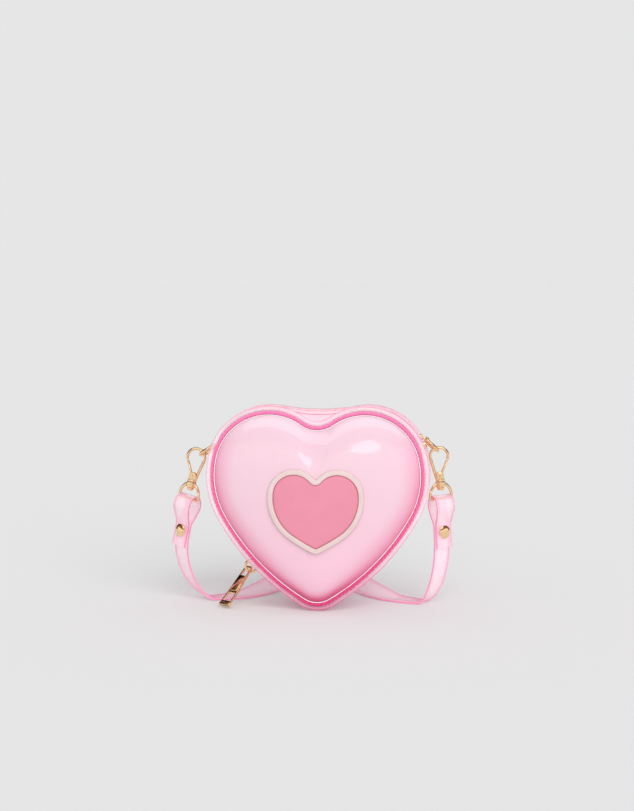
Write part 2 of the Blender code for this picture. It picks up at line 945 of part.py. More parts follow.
border_rows = emblem_rows([inset_outline(0.0), inset_outline(emblem_border_width)], emblem_border_height)
emblem_border = shell("emblem_border", skin_mesh("emblem_border", border_rows, False), emblem_border_height)
settle(smooth(emblem_border), cream, front_half)
heart_outline = inset_outline(emblem_border_width + 2 * gap)
heart_middle = Vector((0.0, max(point.y for point in heart_outline) * emblem_centre_share))
heart_outlines = [[heart_middle.lerp(point, share) for point in heart_outline] for share in emblem_row_shares]
heart_rows = emblem_rows(heart_outlines, emblem_heart_height)
heart_centre = emblem_rows([[heart_middle]], emblem_heart_height)[0][0]
heart_mesh = skin_mesh("emblem_heart", heart_rows, False, centre=heart_centre)
settle(smooth(shell("emblem_heart", heart_mesh, emblem_heart_height)), rose, front_half)


# Ring brackets: the outer skin of the back gusset strip as a track up each side
def skin_track(sign, height, depth):
    """A function of (way along, way out, way across) from the place where the skin has this height."""
    count = len(zip_stations)
    line = [gusset_point(index, depth) for index in range(count)]
    for point in line:
        point.x *= sign
    steps = [(b - a).length for a, b in zip(line, line[1:])]
    start = next(index for index in range(count - 1) if line[index + 1].z > height)
    share = (height - line[start].z) / (line[start + 1].z - line[start].z)
    anchor = sum(steps[:start]) + steps[start] * share

    def spot(along):
        rest = anchor + along
        for index, length in enumerate(steps):
            if rest <= length:
                return line[index].lerp(line[index + 1], rest / length)
            rest -= length

    near = gusset_point(start, depth - bracket_width / 2)
    far = gusset_point(start, depth + bracket_width / 2)
    depth_way = Vector((sign * (far.x - near.x), far.y - near.y, far.z - near.z)).normalized()

    def place(along, out, across):
        way = (spot(along + bracket_width / 4) - spot(along - bracket_width / 4)).normalized()
        normal = depth_way.cross(way) * sign
        return spot(along) + normal.normalized() * out + depth_way * across

    return place


def across_loft(name, place, profile, half_width):
    rings = [[place(along, out, across) for along, out in profile] for across in (-half_width, half_width)]
    return loft(name, rings)


def track_frame(place, along):
    """Origin on the skin, X up the skin, Y across it and Z outwards."""
    origin = place(along, 0.0, 0.0)
    out = (place(along, bracket_width, 0.0) - origin).normalized()
    across = (place(along, 0.0, bracket_width) - origin).normalized()
    return frame(origin, across.cross(out), across, out)


arch_inner = d_wire + gap
arch_outer = arch_inner + bracket_plate
foot_end = arch_outer + bracket_foot
foot_middle = arch_outer + bracket_foot / 2
bar_level = gap + d_wire + bar_lift
foot_top = foot_gap + bracket_plate
half_bracket = bracket_width / 2
wall_inside = -(gusset_thickness + gap)


def arch_profile():
    outer = [(-math.cos(math.pi * step / arch_steps) * arch_outer,
              bar_level + math.sin(math.pi * step / arch_steps) * arch_outer) for step in range(arch_steps + 1)]
    inner = [(math.cos(math.pi * step / arch_steps) * arch_inner,
              bar_level + math.sin(math.pi * step / arch_steps) * arch_inner) for step in range(arch_steps + 1)]
    left_foot = [(-foot_end, foot_gap), (-foot_end, foot_top), (-arch_outer, foot_top)]
    right_foot = [(arch_outer, foot_top), (foot_end, foot_top), (foot_end, foot_gap)]
    return left_foot + outer + right_foot + [(arch_inner, foot_gap)] + inner + [(-arch_inner, foot_gap)]


def backing_profile():
    stations = [foot_end * share for share in backing_station_shares]
    top = [(along, wall_inside) for along in stations]
    bottom = [(along, wall_inside - backing_thickness) for along in reversed(stations)]
    return top + bottom


def screw_profile():
    head_base = foot_top + gap
    end = wall_inside - backing_thickness - gap
    return [
        (0.0, head_base + screw_head_height), (screw_head / 2, head_base + screw_head_height),
        (screw_head, head_base + screw_head_height / 2), (screw_head, head_base),
        (screw_shank, head_base), (screw_shank, end), (0.0, end),
    ]


def drill(place, radius, top, bottom, name):
    """A cutter along the Z of a place, which moves with the bag."""
    cutter = drum(name, radius, top - bottom, drill_sides, cutters)
    cutter.data.transform(place @ Matrix.Translation((0.0, 0.0, (top + bottom) / 2)))
    cutter.parent = bag
    return cutter


# D-ring: a straight bar under the arch, and a bow beyond it
def d_points(reach):
    points = [Vector((0.0, -d_half_width, 0.0)), Vector((0.0, d_half_width, 0.0))]
    straight = reach - d_half_width + d_wire
    for step in range(d_steps + 1):
        turn = math.pi * step / d_steps
        points.append(Vector((straight + math.sin(turn) * (reach - straight), math.cos(turn) * d_half_width, 0.0)))
    return points


# Snap hook in its own frame: X outwards, Z up its axis, origin at the top of the swivel's flange
def arc_points(centre, radius, first, last, steps):
    """Points of an arc in the XZ plane; angles are measured from X towards Z."""
    points = []
    for step in range(steps + 1):
        turn = math.radians(first + (last - first) * step / steps)
        points.append(centre + Vector((math.cos(turn) * radius, 0.0, math.sin(turn) * radius)))
    return points


bow_centre = Vector((0.0, 0.0, hook_bow_height))
pin_spot = Vector((gate_pin_out, 0.0, gate_pin_height))
bow_line = arc_points(bow_centre, hook_bow_radius, hook_nose_angle, hook_arm_angle, bow_steps)
nose = bow_line[0]
arm_foot = Vector((-hook_foot, 0.0, -flange_height / 2))
collar_top = -flange_height - gap
collar_base = collar_top - collar_height
shank_end = collar_base - gap - shank_head_height
cheek_level = cheek_half_gap + cheek_thickness / 2
pin_hole = gate_pin_radius + gap
to_depth = Matrix.Rotation(math.radians(90.0), 4, "X")


def cheek(name, level):
    """An ear of the hook: upright beside the gate, rounded at the top."""
    half = (cheek_outer + cheek_inner) / 2
    middle = (cheek_outer - cheek_inner) / 2
    outline = [(middle - half, -flange_height / 2)]
    outline.append((middle + half, -flange_height / 2))
    for step in range(cheek_steps + 1):
        turn = math.pi * step / cheek_steps
        outline.append((middle + math.cos(turn) * half, cheek_height - half + math.sin(turn) * half))
    return moved(plate(name, [outline], cheek_thickness), Matrix.Translation((0.0, level, 0.0)) @ to_depth)


def swivel_profile():
    return [
        (0.0, 0.0), (flange_radius, 0.0), (flange_radius, -flange_height), (shank_radius, -flange_height),
        (shank_radius, collar_base - gap), (shank_head_radius, collar_base - gap),
        (shank_head_radius, shank_end + shank_head_height / 2), (shank_head_radius / 2, shank_end), (0.0, shank_end),
    ]


def pin_drum(name, radius, length):
    return moved(drum(name, radius, length, pin_sides), Matrix.Translation(pin_spot) @ to_depth)


def make_hook(name):
    pieces = [
        turned(name + "_swivel", swivel_profile(), turn_sides),
        tube(name + "_bow", bow_line + [arm_foot], hook_wire, False, 2),
        cheek(name + "_near", -cheek_level), cheek(name + "_far", cheek_level),
    ]
    return merged(name, pieces, [pin_drum(name + "_pin_hole", pin_hole, hook_bow_height)])


def make_gate(name):
    """The sprung lever, from the pin to just short of the nose."""
    way = (pin_spot - nose).normalized()
    bar = tube(name + "_bar", [nose + way * 2 * gap, pin_spot], gate_wire, False, 2)
    lug = pin_drum(name + "_lug", gate_lug_radius, 2 * (cheek_half_gap - gap))
    return merged(name, [lug, bar], [pin_drum(name + "_hole", pin_hole, hook_bow_height)])


def make_pin(name):
    reach = cheek_half_gap + cheek_thickness + gap
    pieces = [pin_drum(name + "_rod", gate_pin_radius, 2 * reach + gate_pin_radius)]
    for level in (-reach - gate_pin_radius / 2, reach + gate_pin_radius / 2):
        head = pin_drum(name + "_head", gate_pin_head, gate_pin_radius)
        pieces.append(moved(head, Matrix.Translation(pin_spot + across_y * level) @ to_depth))
    return merged(name, pieces)


# Swivel eye: a collar round the hook's shank over a ring that is straight below
eye_centre = collar_top - eye_wire - eye_half_height


def eye_line():
    straight = eye_half_width - eye_corner
    corner = Vector((straight, 0.0, eye_centre - eye_half_height + eye_corner))
    right = arc_points(corner, eye_corner, -90.0, 0.0, eye_corner_steps)
    rise = 2 * eye_half_height - eye_corner
    for step in range(1, eye_steps):
        turn = math.pi * step / eye_steps
        right.append(Vector((math.cos(turn) * eye_half_width, 0.0, corner.z + math.sin(turn) * rise)))
    left = [Vector((-point.x, 0.0, point.z)) for point in right[:eye_corner_steps + 1]]
    return right + list(reversed(left))


def make_eye(name):
    middle = Matrix.Translation((0.0, 0.0, (collar_top + collar_base) / 2))
    collar = moved(drum(name + "_collar", collar_radius, collar_height, turn_sides), middle)
    ring = tube(name + "_ring", eye_line(), eye_wire, True, 2)
    bore = moved(drum(name + "_bore", shank_radius + gap, 2 * collar_height, turn_sides), middle)
    return merged(name, [collar, ring], [bore])


# Strap ends: a loop over the straight of each eye, both layers held by a rivet
bar_height = eye_centre - eye_half_height
loop_top = bar_height + eye_wire + gap + strap_thickness / 2
layer_offset = strap_thickness / 2 + gap
rivet_height = loop_top - rivet_drop


def loop_turn(height):
    """How far the strap has turned about the hook's axis at a height."""
    share = (loop_top - strap_loop_radius - height) / (rivet_drop - strap_loop_radius - rivet_radius - rivet_dome)
    share = min(max(share, 0.0), 1.0)
    return math.radians(eye_turn + (strap_turn - eye_turn) * share)


def loop_side():
    """Half of the loop from its top to the end of the flap, as (way out, height)."""
    centre = loop_top - strap_loop_radius
    meet = rivet_height + rivet_radius + rivet_dome
    reach = math.hypot(layer_offset, centre - meet)
    last = math.atan2(meet - centre, layer_offset) + math.acos(strap_loop_radius / reach)
    points = []
    for step in range(loop_steps + 1):
        turn = math.pi / 2 + (last - math.pi / 2) * step / loop_steps
        points.append((math.cos(turn) * strap_loop_radius, centre + math.sin(turn) * strap_loop_radius))
    points.append(((points[-1][0] + layer_offset) / 2, (points[-1][1] + meet) / 2))
    points.append((layer_offset + gap, meet))
    points.append((layer_offset, rivet_height + rivet_radius))
    points.append((layer_offset, rivet_height))
    points.append((layer_offset, rivet_height - rivet_radius))
    points.append((layer_offset, rivet_height - strap_flap))
    return points


def cap_profile():
    base = layer_offset + strap_thickness / 2 + gap
    end = -(base + rivet_back_height)
    return [
        (0.0, base + rivet_dome), (rivet_radius / 2, base + rivet_dome * dome_shoulder_share),
        (rivet_radius, base + rivet_dome / 4), (rivet_radius, base), (rivet_post, base), (rivet_post, end), (0.0, end),
    ]


def back_profile():
    top = -(layer_offset + strap_thickness / 2 + gap)
    hole = rivet_post + gap
    return [
        (hole, top), (rivet_back_radius, top), (rivet_back_radius, top - rivet_back_height),
        (hole, top - rivet_back_height), (hole, top),
    ]


rivet_places = {}
loops = {}


def make_side(side_name, sign, height, lean, d_droop, hook_bow_offset):
    track = skin_track(sign, height, rim_y * bracket_back_share)
    anchor = track_frame(track, 0.0)

    # bracket, backing and screws
    bracket = across_loft(side_name + "_ring_bracket", track, arch_profile(), half_bracket)
    backing = across_loft(side_name + "_bracket_backing", track, backing_profile(), half_bracket)
    settle(bracket, gold, bag)
    settle(backing, gold, bag)
    for screw_name, along in (("upper", foot_middle), ("lower", -foot_middle)):
        screw_place = track_frame(track, along)
        screw = turned(side_name + "_" + screw_name + "_screw", screw_profile(), screw_sides)
        settle(smooth(screw), gold, bag, screw_place)
        hole = drill(screw_place, screw_shank + screw_clearance, foot_end, -foot_end, screw.name + "_hole")
        for target in (bracket, strips["back"], backing):
            cut(target, hole)

    # D-ring, hinged on its own bar
    droop = math.radians(d_droop)
    hang = Vector((sign * math.cos(droop), 0.0, -math.sin(droop)))
    across = anchor.col[1].to_3d()
    ring_out = (hang - across * hang.dot(across)).normalized()
    bar_spot = track(0.0, bar_level, 0.0)
    ring_frame = frame(bar_spot, ring_out, across, ring_out.cross(across))
    reach = d_reach - d_wire
    d_ring = tube(side_name + "_d_ring", d_points(reach), d_wire, True, 2)
    settle(d_ring, gold, bag, ring_frame)

    # snap hook, gate and pin, hung from the tip of the D-ring
    tip = bar_spot + ring_out * reach
    hold = hook_bow_radius - hook_wire - d_wire - hook_seat
    bow_spot = tip + Vector((sign * hook_bow_offset, 0.0, -math.sqrt(hold ** 2 - hook_bow_offset ** 2)))
    turn = math.radians(lean)
    axis = Vector((-sign * math.sin(turn), 0.0, math.cos(turn)))
    out = Vector((sign * math.cos(turn), 0.0, math.sin(turn)))
    hook_frame = frame(bow_spot - axis * hook_bow_height, out, axis.cross(out), axis)
    hook = settle(make_hook(side_name + "_snap_hook"), gold, bag, hook_frame)
    gate = make_gate(side_name + "_hook_gate")
    gate.data.transform(Matrix.Translation(-pin_spot))
    settle(gate, gold, hook, hook_frame @ Matrix.Translation(pin_spot))
    settle(make_pin(side_name + "_gate_pin"), gold, hook, hook_frame)

    # swivel eye
    front_sign = axis.cross(out).dot(forward)
    spin = Matrix.Rotation(math.radians(-eye_turn) * front_sign, 4, "Z")
    settle(make_eye(side_name + "_swivel_eye"), gold, bag, hook_frame @ spin)

    # the strap's loop, as (place, width direction) from the top to the flap's end on both faces
    def at(away, level):
        angle = loop_turn(level)
        face = out * math.sin(angle) + forward * math.cos(angle)
        width = out * math.cos(angle) - forward * math.sin(angle)
        return hook_frame.translation + axis * level + face * away, width

    half_loop = loop_side()
    flap = [at(away, level) for away, level in half_loop]
    back = [at(-away, level) for away, level in half_loop[:-1]]
    loops[side_name] = (flap, back, axis)

    # rivet
    middle, width = at(0.0, rivet_height)
    face = (at(layer_offset, rivet_height)[0] - middle).normalized()
    rivet_frame = frame(middle, width, face.cross(width), face)
    rivet_places[side_name] = rivet_frame
    settle(smooth(turned(side_name + "_rivet_cap", cap_profile(), turn_sides)), gold, bag, rivet_frame)
    settle(turned(side_name + "_rivet_back", back_profile(), turn_sides), gold, bag, rivet_frame)


make_side("left", -1.0, left_bracket_height, left_hook_lean, left_d_droop, left_bow_offset)
make_side("right", 1.0, right_bracket_height, right_hook_lean, right_d_droop, right_bow_offset)


# Strap: flap, loop and fall on the left, the way over the ground, and the same back up on the right
def bezier(points, share):
    rest = 1.0 - share
    weights = (rest ** 3, 3 * rest ** 2 * share, 3 * rest * share ** 2, share ** 3)
    total = Vector((0.0, 0.0, 0.0))
    for weight, point in zip(weights, points):
        total += point * weight
    return total


def fall(start, foot, handle, width, ground_width, axis):
    """Points of the strap's fall from its loop to the ground, with its width direction turning over."""
    bend = start - axis * handle
    low = foot.lerp(Vector((start.x, start.y, foot.z)), fall_reach_share)
    points = []
    for step in range(1, fall_steps):
        share = step / fall_steps
        turned = width.lerp(ground_width, share ** fall_twist_share).normalized()
        points.append((bezier((start, bend, low, foot), share), turned))
    return points


def left_of(way):
    return upward.cross(way).normalized()


half_width = strap_width / 2
half_strap = strap_thickness / 2
route = []
for spread_share, reach_share, edge in rear_route_shares:
    turn = math.radians(edge)
    height = half_width * math.sin(turn) + half_strap * math.cos(turn)
    route.append((Vector((rear_spread * spread_share, rear_reach * reach_share, height)), turn))
left_foot = Vector((-left_foot_x, left_foot_y, half_strap))
right_foot = Vector((right_foot_x, right_foot_y, half_strap))
route_points = [left_foot] + [point for point, _ in route] + [right_foot]
ground = []
for index, (point, turn) in enumerate(route, start=1):
    way = route_points[index + 1] - route_points[index - 1]
    way.z = 0.0
    ground.append((point, left_of(way) * math.cos(turn) + upward * math.sin(turn)))

left_flap, left_back, left_axis = loops["left"]
right_flap, right_back, right_axis = loops["right"]
left_way = left_of(route_points[1] - left_foot)
left_way.z = 0.0
right_way = left_of(right_foot - route_points[-2])
right_way.z = 0.0
left_fall = fall(left_back[-1][0], left_foot, left_fall_handle, left_back[-1][1], left_way, left_axis)
right_fall = fall(right_back[-1][0], right_foot, right_fall_handle, right_back[-1][1], right_way, right_axis)
strap_line = list(reversed(left_flap)) + left_back[1:]
strap_line += left_fall + [(left_foot, left_way)] + ground + [(right_foot, right_way)]
strap_line += list(reversed(right_fall)) + list(reversed(right_back)) + right_flap[1:]


def smooth_path(line):
    """The path through all places, evenly sampled, with the width direction beside it."""
    samples = []
    for index in range(len(line) - 1):
        before = line[max(index - 1, 0)][0]
        first, first_width = line[index]
        last, last_width = line[index + 1]
        after = line[min(index + 2, len(line) - 1)][0]
        span = (last - first).length
        lead = (last - before).normalized() * span / 3
        trail = (after - first).normalized() * span / 3
        count = max(int(round(span / strap_step)), 1)
        for step in range(count):
            share = step / count
            place = bezier((first, first + lead, last - trail, last), share)
            place.z = max(place.z, min(first.z, last.z))
            samples.append((place, first_width.lerp(last_width, share)))
    samples.append(line[-1])
    return samples


samples = smooth_path(strap_line)
strap_rings = []
strap_length = 0.0
for index, (point, width) in enumerate(samples):
    before = samples[max(index - 1, 0)][0]
    after = samples[min(index + 1, len(samples) - 1)][0]
    if index > 0:
        strap_length += (point - before).length
    way = (after - before).normalized()
    width = (width - way * width.dot(way)).normalized()
    face = way.cross(width)
    ring = [point + width * half_width + face * half_strap, point + width * half_width - face * half_strap,
            point - width * half_width - face * half_strap, point - width * half_width + face * half_strap]
    lift = max(-min(corner.z for corner in ring), 0.0)
    strap_rings.append([corner + upward * lift for corner in ring])
strap = settle(loft("strap", strap_rings), clear_jelly, bag)
for side_name, place in rivet_places.items():
    cut(strap, drill(place, rivet_post + gap, strap_width, -strap_width, side_name + "_rivet_hole"))
print("strap length", round(strap_length * 1000), "mm")


# The bag's origin is at the middle of its floor outline
bpy.context.view_layer.update()
graph = bpy.context.evaluated_depsgraph_get()
low = Vector((math.inf, math.inf, math.inf))
high = -low
for item in parts.objects:
    if item.type == "EMPTY":
        continue
    seen = item.evaluated_get(graph)
    mesh = seen.to_mesh()
    for vertex in mesh.vertices:
        corner = seen.matrix_world @ vertex.co
        low = Vector(map(min, low, corner))
        high = Vector(map(max, high, corner))
    seen.to_mesh_clear()
centre = (low + high) / 2
bag.location = (-centre.x, -centre.y, -low.z)
print("size", [round(value * 1000, 2) for value in high - low], "low", [round(value * 1000, 2) for value in low])
print("shift", [round(value * 1000, 3) for value in bag.location])
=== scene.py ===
import json
import math

import bmesh
import bpy
from mathutils import Matrix, Vector


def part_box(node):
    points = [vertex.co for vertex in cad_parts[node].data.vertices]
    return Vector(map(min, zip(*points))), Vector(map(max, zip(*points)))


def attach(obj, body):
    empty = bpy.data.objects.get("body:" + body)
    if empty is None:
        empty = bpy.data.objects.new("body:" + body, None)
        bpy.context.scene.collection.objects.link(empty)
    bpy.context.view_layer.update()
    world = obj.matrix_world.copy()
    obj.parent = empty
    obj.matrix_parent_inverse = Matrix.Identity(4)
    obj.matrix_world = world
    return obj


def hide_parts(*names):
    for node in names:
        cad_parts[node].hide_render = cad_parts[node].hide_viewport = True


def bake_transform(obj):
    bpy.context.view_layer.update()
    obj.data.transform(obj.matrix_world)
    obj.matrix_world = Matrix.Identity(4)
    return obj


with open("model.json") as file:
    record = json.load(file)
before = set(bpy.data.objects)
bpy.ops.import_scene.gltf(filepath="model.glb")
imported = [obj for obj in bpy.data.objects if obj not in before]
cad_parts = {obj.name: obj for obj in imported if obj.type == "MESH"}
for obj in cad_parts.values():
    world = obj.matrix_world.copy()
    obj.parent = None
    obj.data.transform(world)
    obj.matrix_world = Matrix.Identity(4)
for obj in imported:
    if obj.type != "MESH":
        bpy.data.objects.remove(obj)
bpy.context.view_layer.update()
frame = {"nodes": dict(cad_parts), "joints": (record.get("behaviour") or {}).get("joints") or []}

up = Vector((0.0, 0.0, 1.0))
toFront = Vector((0.0, -1.0, 0.0))
alongY = Vector((0.0, 1.0, 0.0))
joints = {joint["name"]: joint for joint in frame["joints"]}

# where the middle of the bag stands in the frame: its mid-plane is half way between the two pipings
frontLow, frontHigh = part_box("front_piping")
backLow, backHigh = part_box("back_piping")
bagShift = Vector(((frontLow.x + frontHigh.x) / 2, (frontLow.y + backHigh.y) / 2, 0.0))


# camera, floor and light: places in metres from the middle of the bag, angles in degrees
stageSettings = {
    "cameraPlace": (0.10425, -1.21408, 0.25244), "cameraPitch": 85.25, "cameraTurn": 5.0,
    "lens": 48.30, "sensorHeight": 24.0, "clipStart": 0.02,
    "floorSize": 60.0, "paperHex": "#E6E6E6", "paperRoughness": 0.9,
    "skyStrength": 0.73, "sunStrength": 1.50, "sunAngle": 55.0, "sunTurn": (56.0, 0.0, 22.0),
    # what shines in the gold, from the horizon to the ceiling, and from the front to the back
    "heights": [(0.0, "#FFFFFF"), (0.16, "#FFF6EC"), (0.27, "#8C745A"), (0.7, "#584636"), (1.0, "#E0D8D0")],
    "flags": [(0.0, "#FFFFFF"), (0.12, "#FFFFFF"), (0.34, "#5A4030"), (1.0, "#4A3428")],
}
# softboxes that only shine in the surfaces: place, aim, size, watts and shape
softboxes = {
    "top_softbox": ((0.12, -0.95, 1.25), (0.0, 0.0, 0.1), (2.4, 0.9), 10.5, "RECTANGLE"),
    "window_softbox": ((0.187, -1.596, 0.428), (0.036, -0.033, 0.123), (0.40, 0.27), 0.75, "ELLIPSE"),
    "strip_softbox": ((-0.02, -1.607, 0.369), (0.0, -0.034, 0.113), (0.52, 0.010), 0.030, "ELLIPSE"),
}


def hexColour(code):
    values = [int(code[i:i + 2], 16) / 255 for i in (1, 3, 5)]
    linear = [v / 12.92 if v <= 0.04045 else ((v + 0.055) / 1.055) ** 2.4 for v in values]
    return (*linear, 1.0)


def fillRamp(elements, stops):
    # a stop's colour is a hex value, or a number for a grey
    while len(elements) < len(stops):
        elements.new(0.5)
    for element, (place, colour) in zip(elements, stops):
        element.position = place
        element.color = hexColour(colour) if isinstance(colour, str) else (colour, colour, colour, 1.0)


def addNode(tree, kind, settings=None, links=None):
    # a setting goes to the socket of that name or number, to the ramp, or to the node itself
    node = tree.nodes.new(kind)
    for name, value in (settings or {}).items():
        if name == "stops":
            fillRamp(node.color_ramp.elements, value)
        elif isinstance(name, int) or name in node.inputs:
            node.inputs[name].default_value = value
        else:
            setattr(node, name, value)
    for name, source in (links or {}).items():
        tree.links.new(source, node.inputs[name])
    return node


def newMaterial(name, shaderSettings):
    material = bpy.data.materials.new(name)
    material.use_nodes = True
    tree = material.node_tree
    shader = tree.nodes["Principled BSDF"]
    for socket, value in shaderSettings.items():
        shader.inputs[socket].default_value = value
    return material, tree, shader


def deselectAll():
    for item in list(bpy.context.selected_objects):
        item.select_set(False)


def activate(item):
    deselectAll()
    item.select_set(True)
    bpy.context.view_layer.objects.active = item


def linkObject(name, data):
    item = bpy.data.objects.new(name, data)
    bpy.context.scene.collection.objects.link(item)
    return item


def addSoftbox(name, place, aim, size, watts, shape):
    light = bpy.data.lights.new(name, "AREA")
    light.shape = shape
    light.size, light.size_y = size
    light.energy = watts
    item = linkObject(name, light)
    item.location = Vector(place) + bagShift
    item.rotation_euler = (Vector(aim) - Vector(place)).to_track_quat("-Z", "Y").to_euler()
    item.visible_diffuse = False
    item.visible_camera = False


def buildStudio():
    # even light from all round, another studio in what shines, and the paper's grey behind the bag
    s = stageSettings
    world = bpy.data.worlds.new("studio")
    world.use_nodes = True
    tree = world.node_tree
    even = tree.nodes["Background"]
    even.inputs["Strength"].default_value = s["skyStrength"]
    even.inputs["Color"].default_value = hexColour("#FFFFFF")
    backdrop = addNode(tree, "ShaderNodeBackground", {"Color": hexColour(s["paperHex"])})
    way = addNode(tree, "ShaderNodeTexCoord").outputs["Generated"]
    parts = addNode(tree, "ShaderNodeSeparateXYZ", links={"Vector": way})
    heights = addNode(tree, "ShaderNodeValToRGB", {"stops": s["heights"]}, {"Fac": parts.outputs["Z"]})
    flags = addNode(tree, "ShaderNodeValToRGB", {"stops": s["flags"]}, {"Fac": parts.outputs["Y"]})
    studio = addNode(tree, "ShaderNodeMix", {"data_type": "RGBA", "blend_type": "MULTIPLY", 0: 1.0},
                     {6: heights.outputs["Color"], 7: flags.outputs["Color"]})
    shine = addNode(tree, "ShaderNodeBackground", links={"Color": studio.outputs[2]})
    path = addNode(tree, "ShaderNodeLightPath")
    lit = addNode(tree, "ShaderNodeMixShader",
                  links={0: path.outputs["Is Glossy Ray"], 1: even.outputs[0], 2: shine.outputs[0]})
    seen = addNode(tree, "ShaderNodeMixShader",
                   links={0: path.outputs["Is Camera Ray"], 1: lit.outputs[0], 2: backdrop.outputs[0]})
    tree.links.new(seen.outputs[0], tree.nodes["World Output"].inputs["Surface"])
    bpy.context.scene.world = world
    bpy.context.scene.view_settings.view_transform = "Standard"


def buildStage():
    s = stageSettings
    camera = linkObject("camera", bpy.data.cameras.new("camera"))
    camera.location = Vector(s["cameraPlace"]) + bagShift
    camera.rotation_euler = (math.radians(s["cameraPitch"]), 0.0, math.radians(s["cameraTurn"]))
    camera.data.sensor_fit = "VERTICAL"
    camera.data.sensor_height = s["sensorHeight"]
    camera.data.lens = s["lens"]
    camera.data.clip_start = s["clipStart"]
    bpy.context.scene.camera = camera

    # endless paper floor
    deselectAll()
    bpy.ops.mesh.primitive_plane_add(size=s["floorSize"], location=(0.0, 0.0, 0.0))
    floor = bpy.context.active_object
    floor.name = "paper_floor"
    paper, _, _ = newMaterial("matt_paper", {
        "Base Color": hexColour(s["paperHex"]), "Roughness": s["paperRoughness"], "Specular IOR Level": 0.0})
    floor.data.materials.append(paper)

    buildStudio()
    sun = bpy.data.lights.new("soft_key", "SUN")
    sun.energy = s["sunStrength"]
    sun.angle = math.radians(s["sunAngle"])
    lamp = linkObject("soft_key", sun)
    lamp.rotation_euler = [math.radians(v) for v in s["sunTurn"]]
    lamp.visible_glossy = False
    for name, settings in softboxes.items():
        addSoftbox(name, *settings)
    print("stage and camera done")


buildStage()


# materials: the real size of each pattern in millimetres
patternSize = {
    "domeRipple": 9.0, "weltRipple": 2.5, "fillerCloud": 6.0, "beadCloud": 20.0, "fibre": 0.5,
    "sheetCloud": 18.0, "sheetRipple": 3.5, "toothCloud": 4.0, "toothGrain": 0.8, "strapRipple": 6.0,
    "badgeCloud": 12.0, "toolmark": 0.7, "platingCloud": 5.0, "platingRipple": 1.5,
}
bagHeight = 0.15


def addCloud(tree, pattern, detail=2.0):
    # soft mottling, fixed to the piece
    place = addNode(tree, "ShaderNodeTexCoord").outputs["Object"]
    return addNode(tree, "ShaderNodeTexNoise", {"Scale": 1000.0 / patternSize[pattern], "Detail": detail},
                   {"Vector": place}).outputs["Fac"]


def addLevel(tree, low, high, atLow=0.0, atHigh=1.0):
    # how high a place on the bag is, from 0 to 1 or the other way round
    place = addNode(tree, "ShaderNodeTexCoord").outputs["Object"]
    height = addNode(tree, "ShaderNodeSeparateXYZ", links={"Vector": place}).outputs["Z"]
    return addNode(tree, "ShaderNodeMapRange", {
        "From Min": low, "From Max": high, "To Min": atLow, "To Max": atHigh},
        {"Value": height}).outputs["Result"]


def dress(tree, shader, colour, relief=None, strength=0.0, distance=0.0):
    # the colour of a surface, and its fine relief
    tree.links.new(colour, shader.inputs["Base Color"])
    if relief is not None:
        bump = addNode(tree, "ShaderNodeBump", {"Strength": strength, "Distance": distance},
                       {"Height": relief})
        tree.links.new(bump.outputs["Normal"], shader.inputs["Normal"])


# thermoformed milky pink PVC: pale over the dome, a little pinker in the middle towards the bottom, deeper
# where the wall is seen long at the rim;
# painted shade makes the rim's deep band darker and wider low down and lets it fade out at the top
def makeDomeVinyl():
    material, tree, shader = newMaterial("thermoformed_clear_pink_pvc", {
        "Roughness": 0.07, "IOR": 1.53, "Coat Weight": 0.3, "Coat Roughness": 0.02, "Alpha": 0.86})
    depth = addNode(tree, "ShaderNodeAttribute", {"attribute_name": "rimDepth"}).outputs["Fac"]
    level = addLevel(tree, 0.0, bagHeight)
    middle = addNode(tree, "ShaderNodeValToRGB", {"stops": [
        (0.0, "#FFCADE"), (0.16, "#FFD1E4"), (0.3, "#FED2E3"), (0.6, "#FAD5E3"),
        (1.0, "#FBD9E7")]}, {"Fac": level})
    # painted shade: the rim's deep pink darkens towards the bottom and pales at the top
    rim = addNode(tree, "ShaderNodeValToRGB", {"stops": [
        (0.0, "#E0447F"), (0.2, "#EE5C94"), (0.6, "#F56C9E"), (0.78, "#F8A0C2"), (0.88, "#FBD4E2"),
        (1.0, "#FCDDE9")]}, {"Fac": level})
    beside = addNode(tree, "ShaderNodeValToRGB", {"stops": [
        (0.0, 1.0), (0.1, 0.72), (0.4, 0.36), (0.8, 0.07), (1.0, 0.0)]}, {"Fac": depth})
    # painted shade: near the bottom the deep band reaches further in
    below = addNode(tree, "ShaderNodeValToRGB", {"stops": [
        (0.0, 1.0), (0.22, 0.9), (0.45, 0.3), (0.65, 0.04), (1.0, 0.0)]}, {"Fac": depth})
    lowRimShade = addNode(tree, "ShaderNodeValToRGB", {"stops": [(0.1, 1.0), (0.3, 0.0)]}, {"Fac": level})
    nearRim = addNode(tree, "ShaderNodeMix", {"data_type": "FLOAT"}, {
        0: lowRimShade.outputs["Color"], 2: beside.outputs["Color"], 3: below.outputs["Color"]})
    dome = addNode(tree, "ShaderNodeMix", {"data_type": "RGBA"}, {
        0: nearRim.outputs[0], 6: middle.outputs["Color"], 7: rim.outputs["Color"]})
    # the flat flange under the thread takes up the thread's colour
    flange = addNode(tree, "ShaderNodeValToRGB", {"stops": [(0.02, 1.0), (0.05, 0.0)]}, {"Fac": depth})
    mix = addNode(tree, "ShaderNodeMix", {"data_type": "RGBA", 7: hexColour("#FF78B0")}, {
        0: flange.outputs["Color"], 6: dome.outputs[2]})
    dress(tree, shader, mix.outputs[2], addCloud(tree, "domeRipple", 1.0), 0.05, 0.0004)
    return material
